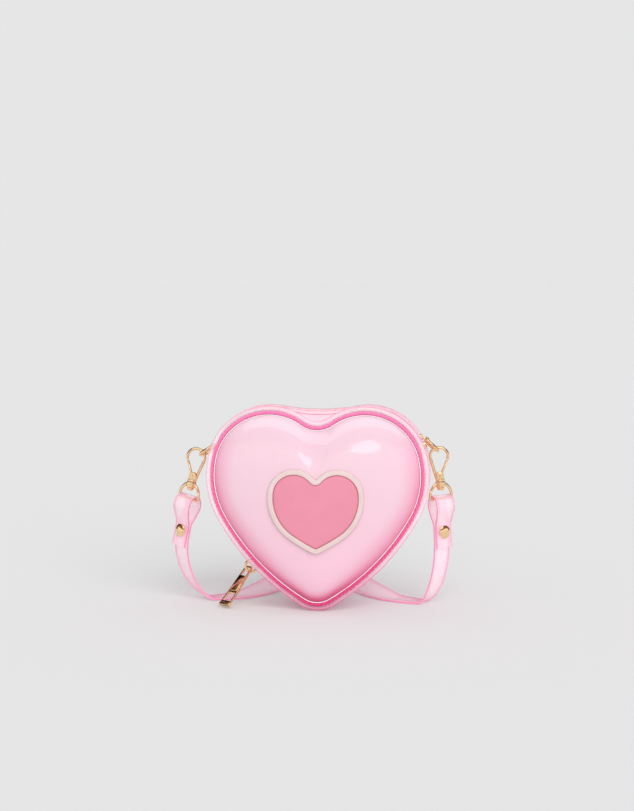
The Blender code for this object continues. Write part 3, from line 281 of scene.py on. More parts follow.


# extruded clear PVC welt: the tint gathers along its outer side and the rest stays clear; painted shade and
# the bag's pink behind it make it deeper pink near the ground, and a painted glow (emission) lightens its
# shade
def makePipingSkin():
    # painted glow: a faint pink emission lightens the welt
    material, tree, shader = newMaterial("extruded_clear_pink_pvc", {
        "Roughness": 0.12, "IOR": 1.53, "Coat Weight": 0.3, "Coat Roughness": 0.05,
        "Emission Color": hexColour("#FFB4D2"), "Emission Strength": 0.12})
    around = addNode(tree, "ShaderNodeAttribute", {"attribute_name": "around"}).outputs["Fac"]
    tint = addNode(tree, "ShaderNodeValToRGB", {"stops": [
        (0.0, "#FFFAFC"), (0.62, "#FFF2F7"), (0.84, "#F7B4D1"), (1.0, "#F08DB9")]}, {"Fac": around})
    # painted shade and the bag's pink seen through: deeper pink towards the ground
    low = addNode(tree, "ShaderNodeValToRGB", {"stops": [
        (0.0, "#F29CBE"), (0.62, "#F094B9"), (0.84, "#E25E95"), (1.0, "#DC4F89")]}, {"Fac": around})
    dense = addNode(tree, "ShaderNodeValToRGB", {"stops": [
        (0.0, 0.30), (0.62, 0.32), (0.84, 0.75), (1.0, 0.9)]}, {"Fac": around})
    mix = addNode(tree, "ShaderNodeMix", {"data_type": "RGBA"}, {
        0: addLevel(tree, 0.012, 0.075, 1.0, 0.0), 6: tint.outputs["Color"], 7: low.outputs["Color"]})
    tree.links.new(dense.outputs["Color"], shader.inputs["Alpha"])
    dress(tree, shader, mix.outputs[2], addCloud(tree, "weltRipple"), 0.08, 0.0002)
    return material


# one colour that clouds over into another: the clear filler inside the welt, and a near-white bead at the
# dome's foot, a painted highlight that stands in for light caught along the dome's root as one thin line
def makeCloudyVinyl(name, shaderSettings, pattern, stops):
    material, tree, shader = newMaterial(name, shaderSettings)
    tint = addNode(tree, "ShaderNodeValToRGB", {"stops": stops}, {"Fac": addCloud(tree, pattern)})
    dress(tree, shader, tint.outputs["Color"])
    return material


# twisted polyester sewing thread under clear PVC: fine fibres run round each ply; painted shade makes it
# darker towards the bottom and lighter at the top, and a painted glow (emission) lifts its shadows
def makeThread():
    # painted glow: a faint pink emission lifts the thread's shadows
    material, tree, shader = newMaterial("deep_pink_polyester_thread", {
        "Roughness": 0.38, "Sheen Weight": 0.2, "Sheen Roughness": 0.4, "Coat Weight": 0.3,
        "Coat Roughness": 0.2, "Emission Color": hexColour("#FF5AA0"), "Emission Strength": 0.12})
    fibre = addCloud(tree, "fibre")
    # painted shade: the thread's colour darkens towards the bottom and lightens at the top
    level = addNode(tree, "ShaderNodeValToRGB", {"stops": [
        (0.0, "#DE2C76"), (0.22, "#F04490"), (0.5, "#FF6AA8"), (0.8, "#FF7EB8"), (1.0, "#FF8AC2")]},
        {"Fac": addLevel(tree, 0.0, bagHeight)})
    shade = addNode(tree, "ShaderNodeValToRGB", {"stops": [(0.3, "#DCDCDC"), (0.7, "#FFFFFF")]},
                    {"Fac": fibre})
    mix = addNode(tree, "ShaderNodeMix", {"data_type": "RGBA", "blend_type": "MULTIPLY", 0: 1.0}, {
        6: level.outputs["Color"], 7: shade.outputs["Color"]})
    dress(tree, shader, mix.outputs[2], fibre, 0.3, 0.0001)
    return material


# calendered PVC sheet of the gusset: soft sheen, faint ripples, the weld that holds the zip tape, and a
# painted glow (emission) that lightens it
def makeSheetVinyl():
    # painted glow: a faint pink emission lightens the sheet
    material, tree, shader = newMaterial("calendered_pink_pvc_sheet", {
        "Roughness": 0.2, "IOR": 1.53, "Alpha": 0.72, "Coat Weight": 0.2, "Coat Roughness": 0.08,
        "Emission Color": hexColour("#FFBAD6"), "Emission Strength": 0.10})
    tint = addNode(tree, "ShaderNodeValToRGB", {"stops": [(0.3, "#FFE2ED"), (0.7, "#FFEDF4")]},
                   {"Fac": addCloud(tree, "sheetCloud")})
    reach = addNode(tree, "ShaderNodeAttribute", {"attribute_name": "mouthDistance"}).outputs["Fac"]
    weld = addNode(tree, "ShaderNodeValToRGB", {"stops": [
        (0.0, 0.0), (0.15, 0.0), (0.19, 1.0), (0.23, 1.0), (0.27, 0.0), (1.0, 0.0)]}, {"Fac": reach})
    mix = addNode(tree, "ShaderNodeMix", {"data_type": "RGBA", 7: hexColour("#F26CA6")}, {
        0: weld.outputs["Color"], 6: tint.outputs["Color"]})
    dress(tree, shader, mix.outputs[2], addCloud(tree, "sheetRipple"), 0.12, 0.0003)
    return material


# woven polyester zip tape: a twill of coarse threads, drawn from the tape's own UV in metres
def makeTapeWeave():
    material, tree, shader = newMaterial("woven_polyester_tape", {"Roughness": 0.75, "Sheen Weight": 0.4})
    uv = addNode(tree, "ShaderNodeTexCoord").outputs["UV"]
    twill = addNode(tree, "ShaderNodeTexWave", {
        "Scale": 330.0, "wave_type": "BANDS", "bands_direction": "DIAGONAL"}, {"Vector": uv}).outputs["Fac"]
    tint = addNode(tree, "ShaderNodeValToRGB", {"stops": [(0.2, "#F8C8D4"), (0.8, "#FDDDE5")]},
                   {"Fac": twill})
    dress(tree, shader, tint.outputs["Color"], twill, 0.4, 0.0002)
    return material


# moulded acetal teeth: waxy and slightly mottled
def makeAcetal():
    material, tree, shader = newMaterial("moulded_pink_acetal", {
        "Roughness": 0.35, "IOR": 1.48, "Subsurface Weight": 0.15, "Subsurface Scale": 0.001,
        "Subsurface Radius": (1.0, 0.5, 0.5)})
    tint = addNode(tree, "ShaderNodeValToRGB", {"stops": [(0.35, "#F9C3D1"), (0.65, "#FDD9E1")]},
                   {"Fac": addCloud(tree, "toothCloud")})
    dress(tree, shader, tint.outputs["Color"], addCloud(tree, "toothGrain", 3.0), 0.1, 0.0001)
    return material


# sewing holes along both edges of the strap, in metres: half of their pitch, half of the gap between two,
# their row's distance from the middle and half of its width
stitchSettings = {"halfPitch": 0.00125, "halfGap": 0.00055, "row": 0.0058, "halfRow": 0.00035, "dense": 0.4}


# die-cut clear PVC strap: the cut edges gather the tint, the faces stay nearly clear,
# and a painted glow (emission) lightens them
def makeStrapVinyl():
    s = stitchSettings
    # painted glow: a faint pink emission lightens the strap
    material, tree, shader = newMaterial("die_cut_clear_pink_pvc", {
        "Roughness": 0.13, "IOR": 1.53, "Coat Weight": 0.3, "Coat Roughness": 0.05,
        "Emission Color": hexColour("#FFCEE2"), "Emission Strength": 0.12})
    edge = addNode(tree, "ShaderNodeAttribute", {"attribute_name": "cutEdge"}).outputs["Fac"]
    tint = addNode(tree, "ShaderNodeValToRGB", {"stops": [
        (0.0, "#FFE2EE"), (0.62, "#FFDAE9"), (0.88, "#F7A9CA"), (1.0, "#F088B4")]}, {"Fac": edge})
    clear = addNode(tree, "ShaderNodeValToRGB", {"stops": [
        (0.0, 0.38), (0.62, 0.42), (0.88, 0.7), (1.0, 0.85)]}, {"Fac": edge})
    uv = addNode(tree, "ShaderNodeTexCoord").outputs["UV"]
    parts = addNode(tree, "ShaderNodeSeparateXYZ", links={"Vector": uv})
    beat = addNode(tree, "ShaderNodeMath", {"operation": "PINGPONG", 1: s["halfPitch"]},
                   {0: parts.outputs["X"]})
    dash = addNode(tree, "ShaderNodeMath", {"operation": "GREATER_THAN", 1: s["halfGap"]},
                   {0: beat.outputs[0]})
    side = addNode(tree, "ShaderNodeMath", {"operation": "ABSOLUTE"}, {0: parts.outputs["Y"]})
    row = addNode(tree, "ShaderNodeMath", {"operation": "COMPARE", 1: s["row"], 2: s["halfRow"]},
                  {0: side.outputs[0]})
    stitch = addNode(tree, "ShaderNodeMath", {"operation": "MULTIPLY"},
                     {0: dash.outputs[0], 1: row.outputs[0]})
    mix = addNode(tree, "ShaderNodeMix", {"data_type": "RGBA", 7: hexColour("#EE8FB6")}, {
        0: stitch.outputs[0], 6: tint.outputs["Color"]})
    dense = addNode(tree, "ShaderNodeMath", {"operation": "MULTIPLY_ADD", "use_clamp": True, 1: s["dense"]}, {
        0: stitch.outputs[0], 2: clear.outputs["Color"]})
    tree.links.new(dense.outputs[0], shader.inputs["Alpha"])
    dress(tree, shader, mix.outputs[2], addCloud(tree, "strapRipple"), 0.08, 0.0003)
    return material


# soft moulded PVC badge: satin, with a fine toolmark grain, and deeper in colour at the inlay's rim
def makeBadge(name, darkHex, lightHex, rimHex, roughness):
    material, tree, shader = newMaterial(name, {
        "Roughness": roughness, "IOR": 1.5, "Specular IOR Level": 0.4})
    tint = addNode(tree, "ShaderNodeValToRGB", {"stops": [(0.3, darkHex), (0.7, lightHex)]},
                   {"Fac": addCloud(tree, "badgeCloud")})
    rim = addNode(tree, "ShaderNodeAttribute", {"attribute_name": "inlayRim"}).outputs["Fac"]
    mix = addNode(tree, "ShaderNodeMix", {"data_type": "RGBA", 7: hexColour(rimHex)}, {
        0: rim, 6: tint.outputs["Color"]})
    dress(tree, shader, mix.outputs[2], addCloud(tree, "toolmark", 3.0), 0.1, 0.0001)
    return material


# barrel-plated light gold on cast zinc: mirror bright with faint polishing haze
def makeGoldPlate():
    material, tree, shader = newMaterial("light_gold_plated_zinc", {"Metallic": 1.0})
    cloud = addCloud(tree, "platingCloud", 3.0)
    tint = addNode(tree, "ShaderNodeValToRGB", {"stops": [(0.3, "#F9D3A0"), (0.7, "#FFE0B4")]},
                   {"Fac": cloud})
    haze = addNode(tree, "ShaderNodeMapRange", {"To Min": 0.05, "To Max": 0.14}, {"Value": cloud})
    tree.links.new(haze.outputs["Result"], shader.inputs["Roughness"])
    dress(tree, shader, tint.outputs["Color"], addCloud(tree, "platingRipple", 3.0), 0.04, 0.0001)
    return material


domeVinyl = makeDomeVinyl()
pipingSkin = makePipingSkin()
fillerCord = makeCloudyVinyl("clear_pvc_filler", {"Roughness": 0.3, "Alpha": 0.14}, "fillerCloud",
                             [(0.3, "#FBEEF3"), (0.7, "#FFFAFC")])
# painted highlight: the near-white bead along the dome's foot
highlightBead = makeCloudyVinyl("painted_highlight_bead_pvc", {"Roughness": 0.12, "Coat Weight": 0.5}, "beadCloud",
                           [(0.3, "#FFF0F6"), (0.6, "#FFFFFF")])
seamThread = makeThread()
sheetVinyl = makeSheetVinyl()
tapeWeave = makeTapeWeave()
acetal = makeAcetal()
strapVinyl = makeStrapVinyl()
creamBadge = makeBadge("cream_moulded_soft_pvc", "#E0C9C6", "#E5D0CD", "#E5D0CD", 0.42)
roseBadge = makeBadge("rose_moulded_soft_pvc", "#E48DA3", "#E690A6", "#F0708F", 0.38)
goldPlate = makeGoldPlate()
print("materials done")


# small makers
sameSpot = 0.000002


def paintNode(name, material):
    # one of the part's own solids, shown as it is
    data = frame["nodes"][name].data
    data.materials.clear()
    data.materials.append(material)


def linkMesh(name, points, faces):
    mesh = bpy.data.meshes.new(name)
    mesh.from_pydata(points, [], faces)
    return linkObject(name, mesh)


def turnFacesOut(item, merge=True):
    work = bmesh.new()
    work.from_mesh(item.data)
    if merge:
        bmesh.ops.remove_doubles(work, verts=work.verts, dist=sameSpot)
    bmesh.ops.recalc_face_normals(work, faces=work.faces)
    work.to_mesh(item.data)
    work.free()


def applyModifiers(item):
    activate(item)
    for modifier in list(item.modifiers):
        bpy.ops.object.modifier_apply(modifier=modifier.name)


def finishPiece(item, material, body, replaced=(), angle=35.0):
    # a piece with no body is left unattached
    activate(item)
    bpy.ops.object.transform_apply(location=True, rotation=True, scale=True)
    item.data.materials.clear()
    item.data.materials.append(material)
    bpy.ops.object.shade_smooth_by_angle(angle=math.radians(angle))
    if body is not None:
        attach(item, body)
    for node in replaced:
        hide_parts(node)
    return item


def meshOf(item):
    # a curve made a mesh
    activate(item)
    bpy.ops.object.convert(target="MESH")
    turnFacesOut(bpy.context.active_object)
    return bpy.context.active_object


def makeWire(name, points, radius, closed=False, sides=4):
    curve = bpy.data.curves.new(name, "CURVE")
    curve.dimensions = "3D"
    curve.bevel_depth = radius
    curve.bevel_resolution = sides
    curve.use_fill_caps = not closed
    spline = curve.splines.new("POLY")
    spline.points.add(len(points) - 1)
    for spot, point in zip(spline.points, points):
        spot.co = (*point, 1.0)
    spline.use_cyclic_u = closed
    return meshOf(linkObject(name, curve))


def makePlate(name, outlines, thickness, edge):
    curve = bpy.data.curves.new(name, "CURVE")
    curve.dimensions = "2D"
    curve.fill_mode = "BOTH"
    curve.extrude = thickness / 2 - edge
    curve.bevel_depth = edge
    curve.bevel_resolution = 2
    curve.offset = -edge
    for outline in outlines:
        spline = curve.splines.new("POLY")
        spline.points.add(len(outline) - 1)
        for spot, point in zip(spline.points, outline):
            spot.co = (point[0], point[1], 0.0, 1.0)
        spline.use_cyclic_u = True
    return meshOf(linkObject(name, curve))


def makeTurned(name, profile, steps=40):
    points = [(radius, 0.0, height) for radius, height in profile]
    mesh = bpy.data.meshes.new(name)
    mesh.from_pydata(points, [(i, i + 1) for i in range(len(points) - 1)], [])
    item = linkObject(name, mesh)
    spin = item.modifiers.new("turn", "SCREW")
    spin.steps = steps
    spin.render_steps = steps
    spin.use_merge_vertices = True
    spin.merge_threshold = 5 * sameSpot
    applyModifiers(item)
    turnFacesOut(item)
    return item


def makeBox(name, size, centre, edge):
    deselectAll()
    bpy.ops.mesh.primitive_cube_add(size=1.0, location=centre, scale=size)
    item = bpy.context.active_object
    item.name = name
    bpy.ops.object.transform_apply(location=True, rotation=False, scale=True)
    bevel = item.modifiers.new("edges", "BEVEL")
    bevel.width = edge
    bevel.segments = 3
    applyModifiers(item)
    return item


def joinPieces(name, items):
    deselectAll()
    for item in items:
        item.select_set(True)
    bpy.context.view_layer.objects.active = items[0]
    bpy.ops.object.join()
    items[0].name = name
    items[0].data.name = name
    return items[0]


def giveWall(item, thickness):
    # a sheet gets its thickness inwards
    wall = item.modifiers.new("wall", "SOLIDIFY")
    wall.thickness = thickness
    wall.offset = -1.0
    applyModifiers(item)


def moved(item, place):
    item.data.transform(place)
    return item


def gridFaces(rows, count, wrapped=True, flip=False):
    faces = []
    for row in range(rows - 1):
        for step in range(count if wrapped else count - 1):
            after = (step + 1) % count
            below, above = row * count, (row + 1) * count
            face = (below + step, below + after, above + after, above + step)
            faces.append(tuple(reversed(face)) if flip else face)
    return faces


def setAttribute(item, name, values):
    attribute = item.data.attributes.new(name, "FLOAT", "POINT")
    attribute.data.foreach_set("value", values)


# heart outlines: the same arcs as the part's own
heartShape = {
    "radii": (0.0200, 0.1730, 0.0631, 0.0432), "turns": (31.4, 29.3, 44.4), "cleftTurn": 35.7,
    "zipRise": 0.0012, "zipLift": 1.5, "zipCleft": 10.0, "steps": (10, 36, 24, 40, 14),
    "base": 0.0036, "rimY": 0.0225, "backSink": 0.0027, "backLean": 0.018, "settleFrom": 0.070,
    "settleOver": 0.070, "settlePower": 1.5,
}


def outOf(heading):
    # the outward direction where the outline, walked from its tip, has turned by this many degrees
    angle = math.radians(heading)
    return Vector((math.sin(angle), -math.cos(angle)))


def heartArcs(radii, turns, cleftTurn):
    # tip, flank, shoulder, lobe and cleft of the right half, each as (centre, radius, heading, turn)
    arcs = []
    heading = 0.0
    centre = Vector((0.0, radii[0]))
    lobeTurn = 180.0 + cleftTurn - sum(turns)
    for radius, turn, following in zip(radii, (*turns, lobeTurn), (*radii[1:], None)):
        arcs.append((centre, radius, heading, turn))
        heading += turn
        if following is not None:
            centre = centre + outOf(heading) * (radius - following)
    edge = centre + outOf(heading) * radii[-1]
    hollow = edge.x / math.sin(math.radians(cleftTurn))
    arcs.append((edge + outOf(heading) * hollow, -hollow, heading, -cleftTurn))
    return arcs


def arcLength(arc):
    return abs(arc[1] * math.radians(arc[3]))


def walk(arcs, distance):
    # the place and the outward direction at a distance from the tip
    for arc in arcs:
        length = arcLength(arc)
        if distance <= length or arc is arcs[-1]:
            heading = arc[2] + arc[3] * distance / length
            return arc[0] + outOf(heading) * arc[1], outOf(heading)
        distance -= length


def flipX(vector):
    return Vector((-vector.x, vector.y))


def roundHeart(arcs, steps):
    # the whole outline with a number of steps for each arc, as (place, outward, distance from the tip)
    distances = [0.0]
    start = 0.0
    for arc, count in zip(arcs, steps):
        distances += [start + arcLength(arc) * i / count for i in range(1, count + 1)]
        start += arcLength(arc)
    half = [(*walk(arcs, d), d) for d in distances]
    return half + [(flipX(p), flipX(o), -d) for p, o, d in reversed(half[1:-1])]


def settled(point):
    # the back half of the soft bag has sunk a little behind the front one
    s = heartShape
    behind = min(max((point.y - bagShift.y) / s["rimY"], 0.0), 1.0)
    high = min(max((point.z - s["settleFrom"]) / s["settleOver"], 0.0), 1.0)
    sink = s["backSink"] - s["backLean"] * (point.x - bagShift.x)
    return point - up * sink * behind ** s["settlePower"] * high * high * (3.0 - 2.0 * high)


def inSpace(point, y, base=heartShape["base"]):
    return settled(Vector((point.x, y, point.y + base)) + bagShift)


def evenHeart(arcs, spacing):
    # points at nearly even spacing all the way round
    half = sum(arcLength(arc) for arc in arcs)
    count = int(round(half / spacing))
    right = [walk(arcs, half * i / count) for i in range(count + 1)]
    return right + [(flipX(p), flipX(o)) for p, o in reversed(right[1:-1])]


seamArcs = heartArcs(heartShape["radii"], heartShape["turns"], heartShape["cleftTurn"])
zipRadii = tuple(radius + heartShape["zipRise"] for radius in heartShape["radii"])
tipTurn, flankTurn, shoulderTurn = heartShape["turns"]
zipTurns = (tipTurn, flankTurn + heartShape["zipLift"], shoulderTurn - heartShape["zipLift"])
zipArcs = heartArcs(zipRadii, zipTurns, heartShape["zipCleft"])
zipBase = heartShape["base"] - heartShape["zipRise"]
seamHeart = roundHeart(seamArcs, heartShape["steps"])
zipHeart = roundHeart(zipArcs, heartShape["steps"])
rimY = heartShape["rimY"]
halves = {"front": ("front_half", -1.0), "back": ("bag", 1.0)}


# domed panels
panelSettings = {"thickness": 0.0012, "domeRise": 0.0130, "domeCentreShare": 0.56, "edgeWidth": 0.0026,
                 "power": 2.6, "rootPower": 0.6, "rings": 26, "ringPower": 1.7,
                 "flange": ((0.0, 0.0), (-0.0020, 0.0), (-0.0023, 0.0001), (-0.0026, 0.0004)),
                 "gradientDepth": 0.017, "domeStart": 0.05, "smoothFrom": 0.003, "smoothBand": 0.012,
                 "smoothSteps": 260}
domeCentre = Vector((0.0, max(p.y for p, _, _ in seamHeart) * panelSettings["domeCentreShare"]))


def domeHeight(share):
    # share is 0 at the middle of the dome and 1 at its edge
    s = panelSettings
    return s["domeRise"] * (1.0 - share ** s["power"]) ** s["rootPower"]


def makePanel(half, body, sign):
    # flange, weld line and dome, ring by ring from the seam to the middle
    s = panelSettings
    count = len(seamHeart)
    points = []
    depths = []
    for offset, rise in s["flange"]:
        for point, out, _ in seamHeart:
            points.append(inSpace(point + out * offset, sign * (rimY + rise)))
            depths.append(0.0)
    for ring in range(1, s["rings"]):
        share = 1.0 - (ring / s["rings"]) ** s["ringPower"]
        for point, out, _ in seamHeart:
            edge = point - out * s["edgeWidth"]
            spot = domeCentre.lerp(edge, share)
            points.append(inSpace(spot, sign * (rimY + domeHeight(share))))
            depths.append(min(s["domeStart"] + (edge - spot).length / s["gradientDepth"], 1.0))
    faces = gridFaces(len(points) // count, count, flip=sign > 0)
    points.append(inSpace(domeCentre, sign * (rimY + s["domeRise"])))
    depths.append(1.0)
    last = len(points) - 1 - count
    for i in range(count):
        face = (last + i, last + (i + 1) % count, len(points) - 1)
        faces.append(tuple(reversed(face)) if sign > 0 else face)
    panel = linkMesh(half + "_dome_panel", points, faces)
    setAttribute(panel, "rimDepth", depths)
    inside = panel.vertex_groups.new(name="inside")
    for index, depth in enumerate(depths):
        share = (depth * s["gradientDepth"] - s["smoothFrom"]) / s["smoothBand"]
        inside.add([index], min(max(share, 0.0), 1.0), "REPLACE")
    soften = panel.modifiers.new("soften", "SMOOTH")
    soften.factor = 0.5
    soften.iterations = s["smoothSteps"]
    soften.use_x = soften.use_z = False
    soften.vertex_group = "inside"
    giveWall(panel, s["thickness"])
    return finishPiece(panel, domeVinyl, body, [half + "_panel"], angle=60.0)


panels = {half: makePanel(half, body, sign) for half, (body, sign) in halves.items()}
print("panels done")


# piping and seam thread
pipingSettings = {"radius": 0.0017, "reach": 0.0036, "rise": -0.0006, "coreRadius": 0.0009, "spacing": 0.0022,
                  "beadRadius": 0.00036, "beadOffset": -0.00285, "beadRise": 0.0018, "skinSides": 24,
                  "coreSides": 10, "beadSides": 8}
threadSettings = {"lift": 0.0013, "offset": -0.00112, "helix": 0.00058, "flatness": 0.8, "ply": 0.00076,
                  "pitch": 0.0064, "perTurn": 14, "plies": 2, "sides": 1}


def makeRimTube(name, sign, offset, rise, radius, sides):
    # a closed tube along the seam, with how far each line of it faces outwards
    heart = evenHeart(seamArcs, pipingSettings["spacing"])
    points = []
    around = []
    for point, out in heart:
        for k in range(sides):
            turn = math.tau * k / sides
            spot = point + out * (offset + math.cos(turn) * radius)
            points.append(inSpace(spot, sign * (rimY + rise) + math.sin(turn) * radius))
            around.append(max(math.cos(turn), 0.0))
    faces = [(i * sides + k, i * sides + (k + 1) % sides, (i + 1) % len(heart) * sides + (k + 1) % sides,
              (i + 1) % len(heart) * sides + k) for i in range(len(heart)) for k in range(sides)]
    tube = linkMesh(name, points, faces)
    setAttribute(tube, "around", around)
    turnFacesOut(tube, False)
    return tube


def makePiping(half, body, sign):
    s = pipingSettings
    offset = s["reach"] - s["radius"]
    skin = makeRimTube(half + "_piping_skin", sign, offset, s["rise"], s["radius"], s["skinSides"])
    finishPiece(skin, pipingSkin, body, [half + "_piping"], angle=60.0)
    core = makeRimTube(half + "_piping_filler", sign, offset, s["rise"], s["coreRadius"], s["coreSides"])
    finishPiece(core, fillerCord, body, (), angle=60.0)
    # a near-white bead at the dome's foot that carries a painted highlight line
    bead = makeRimTube(half + "_highlight_bead", sign, s["beadOffset"], s["beadRise"], s["beadRadius"],
                       s["beadSides"])
    finishPiece(bead, highlightBead, body, (), angle=60.0)


def makeSeamThread(half, body, sign):
    # plies that wind round each other along the seam
    s = threadSettings
    total = 2 * sum(arcLength(arc) for arc in seamArcs)
    turns = int(round(total / s["pitch"]))
    heart = evenHeart(seamArcs, total / (turns * s["perTurn"]))
    plies = []
    for ply in range(s["plies"]):
        line = []
        for i, (point, out) in enumerate(heart):
            angle = math.tau * (turns * i / len(heart) + ply / s["plies"])
            spot = point + out * (s["offset"] + math.cos(angle) * s["helix"])
            rise = s["lift"] + math.sin(angle) * s["helix"] * s["flatness"]
            line.append(inSpace(spot, sign * (rimY + rise)))
        plies.append(makeWire(half + "_ply_" + str(ply), line, s["ply"], True, s["sides"]))
    thread = joinPieces(half + "_seam_cord", plies)
    finishPiece(thread, seamThread, body, [half + "_seam_thread"], angle=60.0)


for half, (body, sign) in halves.items():
    makePiping(half, body, sign)
    makeSeamThread(half, body, sign)
print("piping and thread done")


# gusset strips and zip tapes
gussetSettings = {"thickness": 0.0010, "bend": 0.0199, "outer": 0.0210, "start": -0.0001, "mouth": 0.0050,
                  "closed": 0.00015, "tapeDrop": 0.0014, "tapeThickness": 0.0006, "tapeInner": 0.0027,
                  "tapeOuter": 0.0076, "rows": 28, "tapeRows": 5, "weldSpan": 0.010, "blendReach": 0.0045,
                  "hair": 0.0001}
# the zip's foot is a third of the way up the flank
footDistance = arcLength(zipArcs[0]) + arcLength(zipArcs[1]) / 3


def flatOf(point):
    return Vector((point.x, 0.0, point.y))


def gussetPoint(index, depth):
    # a place of the sheet, from the zip's outline at depth 0 to the seam's outline at the bend
    s = gussetSettings
    seamPoint, seamOut, _ = seamHeart[index]
    low = Vector((0.0, depth, heartShape["base"])) + flatOf(seamPoint + seamOut * s["start"])
    share = 1.0 - min(depth / s["bend"], 1.0)
    return low.lerp(Vector((0.0, depth, zipBase)) + flatOf(zipHeart[index][0]), share)


def onSide(point, sign):
    return settled(Vector((point.x, sign * point.y, point.z)) + bagShift)


def mouthDepth(index):
    # how far the sheet's edge stays back: clear of the teeth, and nearly closed below the zip's foot
    s = gussetSettings
    return s["mouth"] if abs(zipHeart[index][2]) > footDistance - s["hair"] else s["closed"]


def uvFromMetres(item, coordinates):
    layer = item.data.uv_layers.new(name="metres")
    for loop in item.data.loops:
        layer.data[loop.index].uv = coordinates[loop.vertex_index]


def makeGusset(half, sign):
    s = gussetSettings
    count = len(zipHeart)
    points = []
    reach = []
    for row in range(s["rows"] + 1):
        for index in range(count):
            share = (row - 1) / (s["rows"] - 1)
            depth = s["outer"] if row == 0 else s["bend"] + (mouthDepth(index) - s["bend"]) * share
            points.append(onSide(gussetPoint(index, depth), sign))
            reach.append((depth - s["mouth"]) / s["weldSpan"])
    strip = linkMesh(half + "_gusset_strip", points, gridFaces(s["rows"] + 1, count, flip=sign < 0))
    setAttribute(strip, "mouthDistance", reach)
    giveWall(strip, s["thickness"])
    finishPiece(strip, sheetVinyl, None, [half + "_gusset"], angle=50.0)
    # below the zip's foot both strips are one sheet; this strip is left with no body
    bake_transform(strip)


def makeTape(half, body, sign):
    s = gussetSettings
    indices = [i for i in range(len(zipHeart)) if abs(zipHeart[i][2]) >= footDistance - s["hair"]]
    rows = s["tapeRows"]
    points = []
    uvs = []
    for row in range(rows):
        for index in indices:
            _, out, distance = zipHeart[index]
            depth = s["tapeInner"] + (s["tapeOuter"] - s["tapeInner"]) * row / (rows - 1)
            spot = gussetPoint(index, depth) - flatOf(out) * s["tapeDrop"]
            points.append(onSide(spot, sign))
            uvs.append((distance, depth))
    faces = gridFaces(rows, len(indices), wrapped=False, flip=sign < 0)
    tape = linkMesh(half + "_tape_strip", points, faces)
    uvFromMetres(tape, uvs)
    giveWall(tape, s["tapeThickness"])
    finishPiece(tape, tapeWeave, body, [half + "_zip_tape"], angle=50.0)


for half, (body, sign) in halves.items():
    makeGusset(half, sign)
    makeTape(half, body, sign)
    paintNode(half + "_zip_teeth", acetal)
for side in ("left", "right"):
    paintNode("zip_" + side + "_stop", acetal)
print("gusset and zip done")


# heart emblem on the front panel
emblemSettings = {"radii": (0.0058, 0.1543, 0.0373, 0.0193), "turns": (27.0, 7.0, 62.0), "cleftTurn": 50.0,
                  "tipHeight": 0.0446, "width": 0.0037, "borderHeight": 0.0024, "heartHeight": 0.0013,
                  "round": 0.0006, "roundSteps": 4, "gap": 0.0003, "steps": (8, 10, 32, 32, 12),
                  "tipStep": 0.00004, "centreShare": 0.58, "rings": 12, "castFrom": -0.2,
                  "inlayEdge": ((1.0, 0.6), (0.994, 0.86), (0.98, 1.0))}
emblemArcs = heartArcs(emblemSettings["radii"], emblemSettings["turns"], emblemSettings["cleftTurn"])
emblemLift = Vector((0.0, emblemSettings["tipHeight"] - heartShape["base"]))


def insetOutline(inset):
    # near the tip the inset outline keeps to the flank's arc, so it stays simple
    centre, radius = emblemArcs[1][0], emblemArcs[1][1] - inset
    full = roundHeart(emblemArcs, emblemSettings["steps"])
    half = full[:len(full) // 2 + 1]
    shape = []
    for index, (point, out, _) in enumerate(half):
        point = point - out * inset
        least = emblemSettings["tipStep"] * index
        if inset > 0.0 and point.x < least and index <= emblemSettings["steps"][0]:
            point = Vector((least, centre.y - math.sqrt(radius ** 2 - (least - centre.x) ** 2)))
        shape.append(point)
    shape[0].x = 0.0
    shape[-1].x = 0.0
    return shape + [flipX(p) for p in reversed(shape[1:-1])]


def onDome(point, height):
    # a place over the front panel's outer face
    spot = point + emblemLift
    start = inSpace(spot, emblemSettings["castFrom"])
    _, place, _, _ = panels["front"].ray_cast(start, alongY)
    return place + toFront * height


def makeBorder():
    # up one side, over a rounded top and down the other
    s = emblemSettings
    r = s["round"]
    rise = [(0.0, s["gap"])]
    for i in range(s["roundSteps"] + 1):
        turn = math.pi / 2 * i / s["roundSteps"]
        rise.append((r * (1 - math.cos(turn)), s["borderHeight"] - r * (1 - math.sin(turn))))
    section = rise + [(s["width"] - inset, height) for inset, height in reversed(rise)]
    rows = [[onDome(p, height) for p in insetOutline(inset)] for inset, height in section]
    count = len(rows[0])
    faces = gridFaces(len(rows), count)
    base = (len(rows) - 1) * count
    faces += [(base + i, base + (i + 1) % count, (i + 1) % count, i) for i in range(count)]
    border = linkMesh("emblem_rim", [p for row in rows for p in row], faces)
    turnFacesOut(border)
    finishPiece(border, creamBadge, "front_half", ["emblem_border"], angle=40.0)


